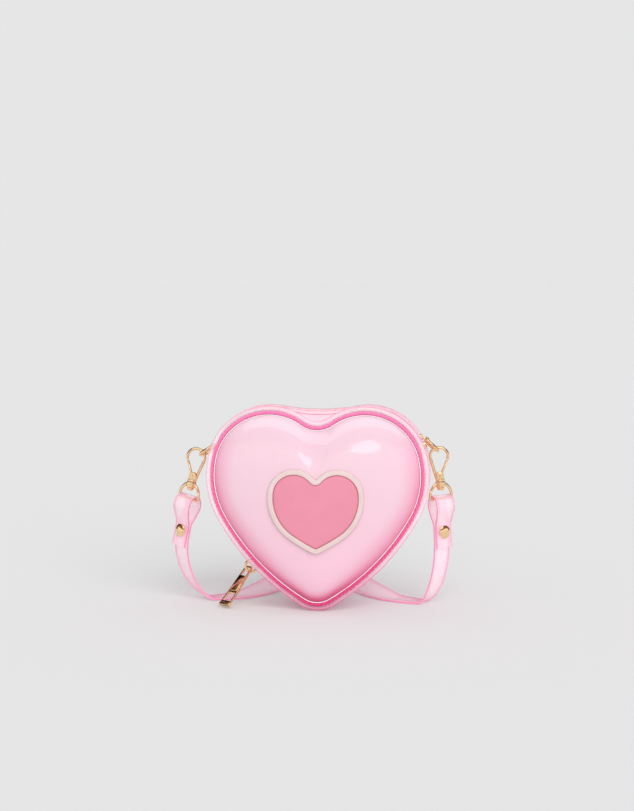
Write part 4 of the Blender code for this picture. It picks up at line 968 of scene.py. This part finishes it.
def makeInlay():
    # a closed heart whose rows run from under its rim, over its rounded edge, to its middle
    s = emblemSettings
    outline = insetOutline(s["width"] + 0.5 * s["gap"])
    middle = Vector((0.0, max(p.y for p in outline) * s["centreShare"]))
    rows = [[onDome(p, s["gap"]) for p in outline]]
    for share, height in s["inlayEdge"]:
        rows.append([onDome(middle.lerp(p, share), s["heartHeight"] * height) for p in outline])
    rimRows = len(rows) - 1
    for ring in range(1, s["rings"]):
        share = s["inlayEdge"][-1][0] * (1.0 - ring / s["rings"])
        rows.append([onDome(middle.lerp(p, share), s["heartHeight"]) for p in outline])
    count = len(outline)
    points = [p for row in rows for p in row] + [onDome(middle, s["heartHeight"])]
    faces = gridFaces(len(rows), count)
    last = (len(rows) - 1) * count
    faces += [(last + i, last + (i + 1) % count, len(points) - 1) for i in range(count)]
    faces.append(tuple(reversed(range(count))))
    heart = linkMesh("emblem_inlay", points, faces)
    setAttribute(heart, "inlayRim", [1.0 if i < rimRows * count else 0.0 for i in range(len(points))])
    turnFacesOut(heart)
    finishPiece(heart, roseBadge, "front_half", ["emblem_heart"], angle=40.0)


makeBorder()
makeInlay()
print("emblem done")


# hardware at both ends of the strap
hookSettings = {
    "wire": 0.0011, "bowRadius": 0.0067, "bowHeight": 0.0170, "bowSteps": 44, "foot": 0.0024,
    "noseAngle": -22.0, "armAngle": 196.0, "noseProfile": ((0.7, 0.0002), (1.0, 0.0007), (1.0, 0.0012)),
    "cheekGap": 0.0013, "cheekThickness": 0.0010, "cheekInner": 0.0030, "cheekOuter": 0.0028,
    "cheekHeight": 0.0052, "cheekEdge": 0.0002, "pinHeight": 0.0030, "pinOut": 0.0009, "pinRadius": 0.0006,
    "pinHead": 0.0013, "pinProfile": ((0.0, 1.0), (0.6, 0.9), (1.0, 0.4), (1.0, 0.0)), "lugRadius": 0.0015,
    "gateWire": 0.0009, "gateProfile": ((0.75, 0.0002), (1.0, 0.0008)), "flangeRadius": 0.0034,
    "flangeHeight": 0.0018, "shankRadius": 0.0016, "headRadius": 0.0027, "headHeight": 0.0023,
    "headProfile": ((1.0, 0.5), (0.85, 0.8), (0.5, 1.0), (0.0, 1.0)), "edge": 0.0003, "gap": 0.0003,
}
eyeSettings = {"wire": 0.0011, "halfWidth": 0.0090, "halfHeight": 0.0060, "collarRadius": 0.0038,
               "collarHeight": 0.0041, "corner": 0.0016, "turn": 28.0, "cornerSteps": 6, "archSteps": 40}
ringSettings = {"wire": 0.0012, "halfWidth": 0.0072, "reach": 0.0120, "corner": 0.0006, "cornerCut": 0.0002,
                "leftDroop": 30.0, "rightDroop": 42.0, "bendSteps": 36}
strapSettings = {
    "width": 0.0150, "thickness": 0.0018, "turn": 42.0, "loopRadius": 0.0072, "flap": 0.0120,
    "rivetDrop": 0.0275, "rivetRadius": 0.0050, "rivetDome": 0.0016, "rivetPost": 0.0014, "rivetFoot": 0.0010,
    "rivetProfile": ((0.0, 1.0), (0.25, 0.97), (0.5, 0.87), (0.7, 0.73), (0.85, 0.55), (0.94, 0.38),
                     (1.0, 0.2)),
    "leftFoot": (0.0820, 0.0150), "rightFoot": (0.0760, 0.0130), "leftHandle": 0.0230, "rightHandle": 0.0260,
    "fallReach": 0.55, "fallTwist": 2.0, "reach": 0.0930, "spread": 0.0630, "step": 0.0020, "corner": 0.0005,
    "faceShares": (0.8, 0.65, 0.33, 0.0, -0.33, -0.65, -0.8), "edgeFrom": 0.38, "edgeOver": 0.12,
    "loopSteps": 8, "fallSteps": 8, "cornerSteps": 3, "rivetSteps": 48,
    # the way over the ground: shares of the spread and the reach, and how far the band stands on edge
    "route": ((-1.000, 0.240, 8.0), (-0.762, 0.398, 30.0), (-0.619, 0.580, 55.0), (-0.556, 0.774, 68.0),
              (-0.381, 0.946, 72.0), (-0.095, 1.000, 72.0), (0.159, 0.892, 72.0), (0.349, 0.688, 68.0),
              (0.508, 0.473, 50.0), (0.700, 0.320, 25.0), (0.905, 0.220, 6.0)),
}
eased = 0.3
easedEdge = 0.0002
wireSides = 6
turnedSteps = 24


def placeFrame(origin, xAxis, yAxis, zAxis):
    place = Matrix((xAxis, yAxis, zAxis)).transposed().to_4x4()
    place.translation = origin
    return place


def arcPoints(centre, radius, first, last, steps):
    points = []
    for i in range(steps + 1):
        turn = math.radians(first + (last - first) * i / steps)
        points.append(centre + Vector((math.cos(turn) * radius, 0.0, math.sin(turn) * radius)))
    return points


def cheekOutline(inner, outer, low, high, steps=15):
    # upright, with a full round top
    points = [(inner, low), (outer, low)]
    middle = (inner + outer) / 2
    radius = (outer - inner) / 2
    for i in range(steps + 1):
        turn = math.pi * i / steps
        points.append((middle + math.cos(turn) * radius, high - radius + math.sin(turn) * radius))
    return points


upright = Matrix.Rotation(math.radians(90.0), 4, "X")
pinSpot = Vector((hookSettings["pinOut"], 0.0, hookSettings["pinHeight"]))
collarTop = -hookSettings["flangeHeight"] - hookSettings["gap"]
collarBase = collarTop - eyeSettings["collarHeight"]
eyeCentre = collarTop - eyeSettings["wire"] - eyeSettings["halfHeight"]


def hookFrame(side, sign):
    # the hook's own frame: outwards, through and up along its swivel
    joint = joints[side + "_hook_swivel"]
    axis = Vector(joint["axis"]).normalized()
    out = Vector((sign * axis.z, 0.0, -sign * axis.x))
    return placeFrame(Vector(joint["pos_m"]), out, axis.cross(out), axis)


def hookBow():
    s = hookSettings
    centre = Vector((0.0, 0.0, s["bowHeight"]))
    return arcPoints(centre, s["bowRadius"], s["noseAngle"], s["armAngle"], s["bowSteps"])


def makeHook(side, place):
    # bow, nose, two cheeks and the swivel's shank with its head
    s = hookSettings
    bow = hookBow()
    foot = Vector((-s["foot"], 0.0, -s["flangeHeight"] / 2))
    arm = makeWire(side + "_bow", bow + [foot], s["wire"], False, wireSides)
    profile = [(0.0, 0.0)] + [(s["wire"] * share, -depth) for share, depth in s["noseProfile"]]
    nose = makeTurned(side + "_nose", profile + [(0.0, profile[-1][1])], turnedSteps)
    noseWay = (bow[0] - bow[1]).normalized()
    noseEnd = bow[0] - noseWay * profile[1][1]
    nose.data.transform(placeFrame(noseEnd, alongY, noseWay.cross(alongY), noseWay))
    top, edge, height = s["flangeRadius"], s["edge"], s["flangeHeight"]
    low = collarBase - s["gap"]
    head = [(s["headRadius"] * share, low - s["headHeight"] * drop) for share, drop in s["headProfile"]]
    swivel = makeTurned(side + "_swivel", [
        (0.0, 0.0), (top - edge, 0.0), (top - edge * eased, -edge * eased), (top, -edge),
        (top, edge - height), (top - edge * eased, edge * eased - height), (top - edge, -height),
        (s["shankRadius"], -height), (s["shankRadius"], low), (s["headRadius"] - edge, low),
        (s["headRadius"], low - edge)] + head)
    pieces = [swivel, arm, nose]
    level = s["cheekGap"] + s["cheekThickness"] / 2
    outline = cheekOutline(-s["cheekInner"], s["cheekOuter"], -height / 2, s["cheekHeight"])
    for way in (-1.0, 1.0):
        cheek = makePlate(side + "_cheek", [outline], s["cheekThickness"], s["cheekEdge"])
        pieces.append(moved(cheek, Matrix.Translation((0.0, way * level, 0.0)) @ upright))
    hook = joinPieces(side + "_hook_body", pieces)
    hook.data.transform(place)
    finishPiece(hook, goldPlate, side + "_hook", [side + "_snap_hook"])


def makeHingePin(side, place):
    s = hookSettings
    half = s["cheekGap"] + s["cheekThickness"] + s["gap"]
    profile = [(s["pinHead"] * share, half + s["pinRadius"] * rise) for share, rise in s["pinProfile"]]
    profile.append((s["pinRadius"], half))
    profile += [(radius, -rise) for radius, rise in reversed(profile)]
    pin = makeTurned(side + "_hinge_pin", profile, turnedSteps)
    pin.data.transform(place @ Matrix.Translation(pinSpot) @ upright)
    finishPiece(pin, goldPlate, side + "_hook", [side + "_gate_pin"])


def makeGate(side, place):
    # a round lever from its lug on the pin to the nose
    s = hookSettings
    nose = hookBow()[0]
    way = (pinSpot - nose).normalized()
    tip = nose + way * 2 * s["gap"]
    length = (pinSpot - tip).length
    profile = [(0.0, 0.0)] + [(s["gateWire"] * share, -depth) for share, depth in s["gateProfile"]]
    lever = makeTurned(side + "_lever", profile + [(s["gateWire"], -length), (0.0, -length)], turnedSteps)
    lever.data.transform(placeFrame(tip, alongY, way.cross(alongY) * -1.0, way * -1.0))
    inner, outer, half = s["pinRadius"] + s["gap"], s["lugRadius"], s["cheekGap"] - s["gap"]
    profile = [(inner, half), (outer, half), (outer, -half), (inner, -half), (inner, half)]
    lug = makeTurned(side + "_lug", profile, turnedSteps)
    lug.data.transform(Matrix.Translation(pinSpot) @ upright)
    gate = joinPieces(side + "_gate_lever", [lever, lug])
    gate.data.transform(place)
    finishPiece(gate, goldPlate, side + "_gate", [side + "_hook_gate"])


def makeEye(side, place):
    # a collar round the hook's shank, and the ring below it that holds the strap
    s = eyeSettings
    straight = s["halfWidth"] - s["corner"]
    corner = Vector((straight, 0.0, eyeCentre - s["halfHeight"] + s["corner"]))
    right = arcPoints(corner, s["corner"], -90.0, 0.0, s["cornerSteps"])
    rise = 2 * s["halfHeight"] - s["corner"]
    for i in range(1, s["archSteps"]):
        turn = math.pi * i / s["archSteps"]
        right.append(Vector((math.cos(turn) * s["halfWidth"], 0.0, corner.z + math.sin(turn) * rise)))
    left = [Vector((-p.x, 0.0, p.z)) for p in reversed(right[:s["cornerSteps"] + 1])]
    ring = makeWire(side + "_eye_ring", right + left, s["wire"], True, wireSides)
    inner = hookSettings["shankRadius"] + hookSettings["gap"]
    outer, edge = s["collarRadius"], hookSettings["edge"]
    collar = makeTurned(side + "_collar", [
        (inner, collarTop), (outer - edge, collarTop), (outer, collarTop - edge), (outer, collarBase + edge),
        (outer - edge, collarBase), (inner, collarBase), (inner, collarTop)])
    eye = joinPieces(side + "_eye", [collar, ring])
    frontSign = place.col[1].to_3d().dot(toFront)
    eye.data.transform(place @ Matrix.Rotation(math.radians(-s["turn"]) * frontSign, 4, "Z"))
    finishPiece(eye, goldPlate, "bag", [side + "_swivel_eye"])


def makeRing(side, sign):
    s = ringSettings
    joint = joints[side + "_d_ring_swing"]
    across = Vector(joint["axis"]).normalized()
    droop = math.radians(s[side + "Droop"])
    hang = Vector((sign * math.cos(droop), 0.0, -math.sin(droop)))
    out = (hang - across * hang.dot(across)).normalized()
    straight = s["reach"] - s["halfWidth"] + s["wire"]
    half, corner, cut = s["halfWidth"], s["corner"], s["cornerCut"]
    points = [Vector((0.0, corner - half, 0.0)), Vector((0.0, half - corner, 0.0)),
              Vector((cut, half - cut, 0.0)), Vector((corner, half, 0.0))]
    for i in range(s["bendSteps"] + 1):
        turn = math.pi * i / s["bendSteps"]
        reach = straight + math.sin(turn) * (s["reach"] - straight)
        points.append(Vector((reach, math.cos(turn) * half, 0.0)))
    points += [Vector((corner, -half, 0.0)), Vector((cut, cut - half, 0.0))]
    ring = makeWire(side + "_dee", points, s["wire"], True, wireSides)
    ring.data.transform(placeFrame(Vector(joint["pos_m"]), out, across, out.cross(across)))
    finishPiece(ring, goldPlate, side + "_d_ring", [side + "_d_ring"])


def easedCopy(node, name, body):
    # the part's own solid with its edges eased
    item = linkObject(name, frame["nodes"][node].data.copy())
    work = bmesh.new()
    work.from_mesh(item.data)
    bmesh.ops.remove_doubles(work, verts=work.verts, dist=sameSpot)
    bmesh.ops.dissolve_limit(work, angle_limit=math.radians(1.0), verts=work.verts, edges=work.edges)
    work.to_mesh(item.data)
    work.free()
    ease = item.modifiers.new("ease", "BEVEL")
    ease.width = easedEdge
    ease.segments = 2
    ease.limit_method = "ANGLE"
    ease.angle_limit = math.radians(40.0)
    applyModifiers(item)
    return finishPiece(item, goldPlate, body, [node], angle=40.0)


# strap: flap, loop and fall on the left, the way over the ground, and back up on the right
def bezier(points, share):
    rest = 1.0 - share
    weights = (rest ** 3, 3 * rest ** 2 * share, 3 * rest * share ** 2, share ** 3)
    total = Vector((0.0, 0.0, 0.0))
    for weight, point in zip(weights, points):
        total += point * weight
    return total


layerOffset = strapSettings["thickness"] / 2 + hookSettings["gap"]
loopTop = (eyeCentre - eyeSettings["halfHeight"] + eyeSettings["wire"] + hookSettings["gap"]
           + strapSettings["thickness"] / 2)
rivetHeight = loopTop - strapSettings["rivetDrop"]


def loopSide():
    # half of the loop's path, as (away from the middle, height), from the eye down to the flap's end
    s = strapSettings
    centre = loopTop - s["loopRadius"]
    meet = rivetHeight + s["rivetRadius"] + s["rivetDome"]
    reach = math.hypot(layerOffset, centre - meet)
    last = math.atan2(meet - centre, layerOffset) + math.acos(s["loopRadius"] / reach)
    points = []
    for i in range(s["loopSteps"] + 1):
        turn = math.pi / 2 + (last - math.pi / 2) * i / s["loopSteps"]
        points.append((math.cos(turn) * s["loopRadius"], centre + math.sin(turn) * s["loopRadius"]))
    points.append(((points[-1][0] + layerOffset) / 2, (points[-1][1] + meet) / 2))
    points += [(layerOffset + hookSettings["gap"], meet), (layerOffset, rivetHeight + s["rivetRadius"]),
               (layerOffset, rivetHeight), (layerOffset, rivetHeight - s["rivetRadius"]),
               (layerOffset, rivetHeight - s["flap"])]
    return points


def loopPlaces(place, away, level):
    # a place of the loop's path and the strap's width direction there
    s = strapSettings
    drop = s["rivetDrop"] - s["loopRadius"] - s["rivetRadius"] - s["rivetDome"]
    share = min(max((loopTop - s["loopRadius"] - level) / drop, 0.0), 1.0)
    angle = math.radians(eyeSettings["turn"] + (s["turn"] - eyeSettings["turn"]) * share)
    out, axis = place.col[0].to_3d(), place.col[2].to_3d()
    face = out * math.sin(angle) + toFront * math.cos(angle)
    width = out * math.cos(angle) - toFront * math.sin(angle)
    return place.translation + axis * level + face * away, width


def strapFall(start, foot, handle, width, groundWidth, axis):
    # from the loop down to the ground, turning as it goes
    s = strapSettings
    bend = start - axis * handle
    low = foot.lerp(Vector((start.x, start.y, foot.z)), s["fallReach"])
    fall = []
    for i in range(1, s["fallSteps"]):
        share = i / s["fallSteps"]
        twisted = width.lerp(groundWidth, share ** s["fallTwist"])
        fall.append((bezier((start, bend, low, foot), share), twisted.normalized()))
    return fall


def leftOf(way):
    flat = Vector((way.x, way.y, 0.0))
    return up.cross(flat).normalized()


def strapPath(places):
    # places along the band with its width direction, from the left flap's end to the right one's
    s = strapSettings
    halfWidth, half = s["width"] / 2, s["thickness"] / 2
    loops = {}
    for side, place in places.items():
        sideLine = loopSide()
        flap = [loopPlaces(place, away, level) for away, level in sideLine]
        back = [loopPlaces(place, -away, level) for away, level in sideLine[:-1]]
        loops[side] = (flap, back, place.col[2].to_3d())
    ground = []
    spots = []
    for spread, reach, edge in s["route"]:
        turn = math.radians(edge)
        height = halfWidth * math.sin(turn) + half * math.cos(turn)
        spots.append((Vector((s["spread"] * spread, s["reach"] * reach, height)) + bagShift, turn))
    leftFoot = Vector((-s["leftFoot"][0], s["leftFoot"][1], half)) + bagShift
    rightFoot = Vector((s["rightFoot"][0], s["rightFoot"][1], half)) + bagShift
    line = [leftFoot] + [point for point, _ in spots] + [rightFoot]
    for i, (point, turn) in enumerate(spots, start=1):
        way = line[i + 1] - line[i - 1]
        ground.append((point, leftOf(way) * math.cos(turn) + up * math.sin(turn)))
    leftWay = leftOf(line[1] - leftFoot)
    rightWay = leftOf(rightFoot - line[-2])
    leftFlap, leftBack, leftAxis = loops["left"]
    rightFlap, rightBack, rightAxis = loops["right"]
    leftEnd, leftWidth = leftBack[-1]
    rightEnd, rightWidth = rightBack[-1]
    leftFall = strapFall(leftEnd, leftFoot, s["leftHandle"], leftWidth, leftWay, leftAxis)
    rightFall = strapFall(rightEnd, rightFoot, s["rightHandle"], rightWidth, rightWay, rightAxis)
    path = leftFlap[::-1] + leftBack[1:] + leftFall + [(leftFoot, leftWay)] + ground
    return path + [(rightFoot, rightWay)] + rightFall[::-1] + rightBack[::-1] + rightFlap[1:]


def samplePath(path, step):
    # an even, smooth run through the path's places
    samples = []
    for i in range(len(path) - 1):
        before = path[max(i - 1, 0)][0]
        first, firstWidth = path[i]
        last, lastWidth = path[i + 1]
        after = path[min(i + 2, len(path) - 1)][0]
        span = (last - first).length
        lead = (last - before).normalized() * span / 3
        trail = (after - first).normalized() * span / 3
        count = max(int(round(span / step)), 1)
        for k in range(count):
            place = bezier((first, first + lead, last - trail, last), k / count)
            place.z = max(place.z, min(first.z, last.z))
            samples.append((place, firstWidth.lerp(lastWidth, k / count)))
    samples.append(path[-1])
    return samples


def strapSection():
    # a rounded rectangle, as (across, through) points
    s = strapSettings
    halfWidth, half, r = s["width"] / 2, s["thickness"] / 2, s["corner"]
    section = []
    for cx, cy, start in ((1, 1, 0.0), (-1, 1, 90.0), (-1, -1, 180.0), (1, -1, 270.0)):
        for i in range(s["cornerSteps"] + 1):
            turn = math.radians(start + 90.0 * i / s["cornerSteps"])
            section.append((cx * (halfWidth - r) + math.cos(turn) * r, cy * (half - r) + math.sin(turn) * r))
        if cx == cy:
            section += [(cx * halfWidth * share, cy * half) for share in s["faceShares"]]
    return section


def makeStrap(places):
    s = strapSettings
    samples = samplePath(strapPath(places), s["step"])
    section = strapSection()
    count = len(section)
    points = []
    edges = []
    uvs = []
    length = 0.0
    for i, (point, width) in enumerate(samples):
        before = samples[max(i - 1, 0)][0]
        after = samples[min(i + 1, len(samples) - 1)][0]
        if i > 0:
            length += (point - before).length
        way = (after - before).normalized()
        width = (width - way * width.dot(way)).normalized()
        face = way.cross(width)
        ring = [point + width * a + face * t for a, t in section]
        lift = max(-min(corner.z for corner in ring), 0.0)
        for (a, t), corner in zip(section, ring):
            points.append(corner + up * lift)
            edges.append(min(max((abs(a) / s["width"] - s["edgeFrom"]) / s["edgeOver"], 0.0), 1.0))
            uvs.append((length, a))
    faces = gridFaces(len(samples), count)
    faces.append(tuple(reversed(range(count))))
    faces.append(tuple(range(len(points) - count, len(points))))
    strap = linkMesh("strap_band", points, faces)
    setAttribute(strap, "cutEdge", edges)
    uvFromMetres(strap, uvs)
    turnFacesOut(strap, False)
    print("strap length", round(length * 1000), "mm")
    return finishPiece(strap, strapVinyl, "bag", ["strap"], angle=50.0)


def makeRivet(side, place):
    s = strapSettings
    middle, width = loopPlaces(place, 0.0, rivetHeight)
    face = (loopPlaces(place, layerOffset, rivetHeight)[0] - middle).normalized()
    rivetFrame = placeFrame(middle, width, face.cross(width), face)
    base = layerOffset + s["thickness"] / 2 + hookSettings["gap"]
    foot = -base - s["rivetFoot"]
    profile = [(s["rivetRadius"] * share, base + s["rivetDome"] * rise) for share, rise in s["rivetProfile"]]
    profile += [(s["rivetRadius"], base), (s["rivetPost"], base), (s["rivetPost"], foot), (0.0, foot)]
    cap = makeTurned(side + "_rivet_dome", profile, s["rivetSteps"])
    cap.data.transform(rivetFrame)
    finishPiece(cap, goldPlate, "bag", [side + "_rivet_cap"], angle=50.0)


hookPlaces = {}
for side, sign in (("left", -1.0), ("right", 1.0)):
    hookPlaces[side] = hookFrame(side, sign)
    makeHook(side, hookPlaces[side])
    makeHingePin(side, hookPlaces[side])
    makeGate(side, hookPlaces[side])
    makeEye(side, hookPlaces[side])
    makeRing(side, sign)
    makeRivet(side, hookPlaces[side])
    easedCopy(side + "_ring_bracket", side + "_bracket", "bag")
    easedCopy(side + "_rivet_back", side + "_rivet_washer", "bag")
    for node in ("_upper_screw", "_lower_screw", "_bracket_backing"):
        paintNode(side + node, goldPlate)
makeStrap(hookPlaces)
print("strap and hooks done")


# zip slider, pull ring and pull tab
pullSettings = {"ringRadius": 0.0045, "ringWire": 0.0010, "droop": 16.0, "bailWire": 0.0008, "gap": 0.0003,
                "above": 0.0034, "below": 0.0342, "topHalf": 0.0036, "bottomHalf": 0.0052, "corner": 0.0012,
                "thickness": 0.0016, "border": 0.0013, "slotEnd": 0.0060, "plateEnd": 0.0205,
                "windowStart": 0.0222, "windowEnd": 0.0300, "plateRise": 0.0005, "lipLength": 0.0026,
                "lipThickness": 0.0026, "frameEdge": 0.00025, "plateEdge": 0.0003, "lipEdge": 0.0004,
                "fall": 32.5, "lean": 36.5}


def makePullRing():
    s = pullSettings
    bail = Vector(joints["pull_ring_swing"]["pos_m"])
    droop = math.radians(s["droop"])
    reach = s["ringRadius"] - s["ringWire"] - s["bailWire"] - s["gap"]
    centre = bail + Vector((-math.cos(droop), 0.0, -math.sin(droop))) * reach
    deselectAll()
    bpy.ops.mesh.primitive_torus_add(major_radius=s["ringRadius"], minor_radius=s["ringWire"],
                                     major_segments=48, minor_segments=16, location=centre,
                                     rotation=(math.radians(90.0), 0.0, 0.0))
    ring = bpy.context.active_object
    ring.name = "pull_hoop"
    finishPiece(ring, goldPlate, "pull_ring", ["pull_ring"], angle=60.0)


def makePullTab():
    # a frame with two windows, a raised bare plate between them, and a lip at its lower end
    s = pullSettings
    fall, lean = math.radians(s["fall"]), math.radians(s["lean"])
    down = Vector((-math.sin(fall) * math.cos(lean), -math.sin(lean), -math.cos(fall) * math.cos(lean)))
    aside = down.cross(up).normalized() * -1.0
    place = placeFrame(Vector(joints["pull_tab_swing"]["pos_m"]), aside, -down, aside.cross(-down))

    def half(height):
        share = (s["above"] - height) / (s["above"] + s["below"])
        return s["topHalf"] + (s["bottomHalf"] - s["topHalf"]) * share

    def hole(top, bottom):
        return [(-half(top) + s["border"], top), (half(top) - s["border"], top),
                (half(bottom) - s["border"], bottom), (-half(bottom) + s["border"], bottom)]

    top, corner = s["above"], s["corner"]
    wide, cut = half(top), s["corner"] * eased
    outline = [(corner - wide, top), (wide - corner, top), (wide - cut, top - cut), (wide, top - corner),
               (s["bottomHalf"], -s["below"]), (-s["bottomHalf"], -s["below"]), (-wide, top - corner),
               (cut - wide, top - cut)]
    holes = [hole(top - s["border"], -s["slotEnd"]), hole(-s["windowStart"], -s["windowEnd"])]
    body = makePlate("tab_frame", [outline] + holes, s["thickness"], s["frameEdge"])
    size = (2 * half(-s["slotEnd"]) - s["border"], s["plateEnd"] - s["slotEnd"],
            s["thickness"] + 2 * s["plateRise"])
    plate = makeBox("tab_plate", size, (0.0, -(s["plateEnd"] + s["slotEnd"]) / 2, 0.0), s["plateEdge"])
    lip = makeBox("tab_lip", (2 * s["bottomHalf"], s["lipLength"], s["lipThickness"]),
                  (0.0, -s["below"] + s["lipLength"] / 2, 0.0), s["lipEdge"])
    tab = joinPieces("pull_plate", [body, plate, lip])
    tab.data.transform(place)
    finishPiece(tab, goldPlate, "pull_tab", ["pull_tab"], angle=40.0)


makePullRing()
makePullTab()
easedCopy("zip_slider", "slider_body", "zip_slider")
print("zip pull done")
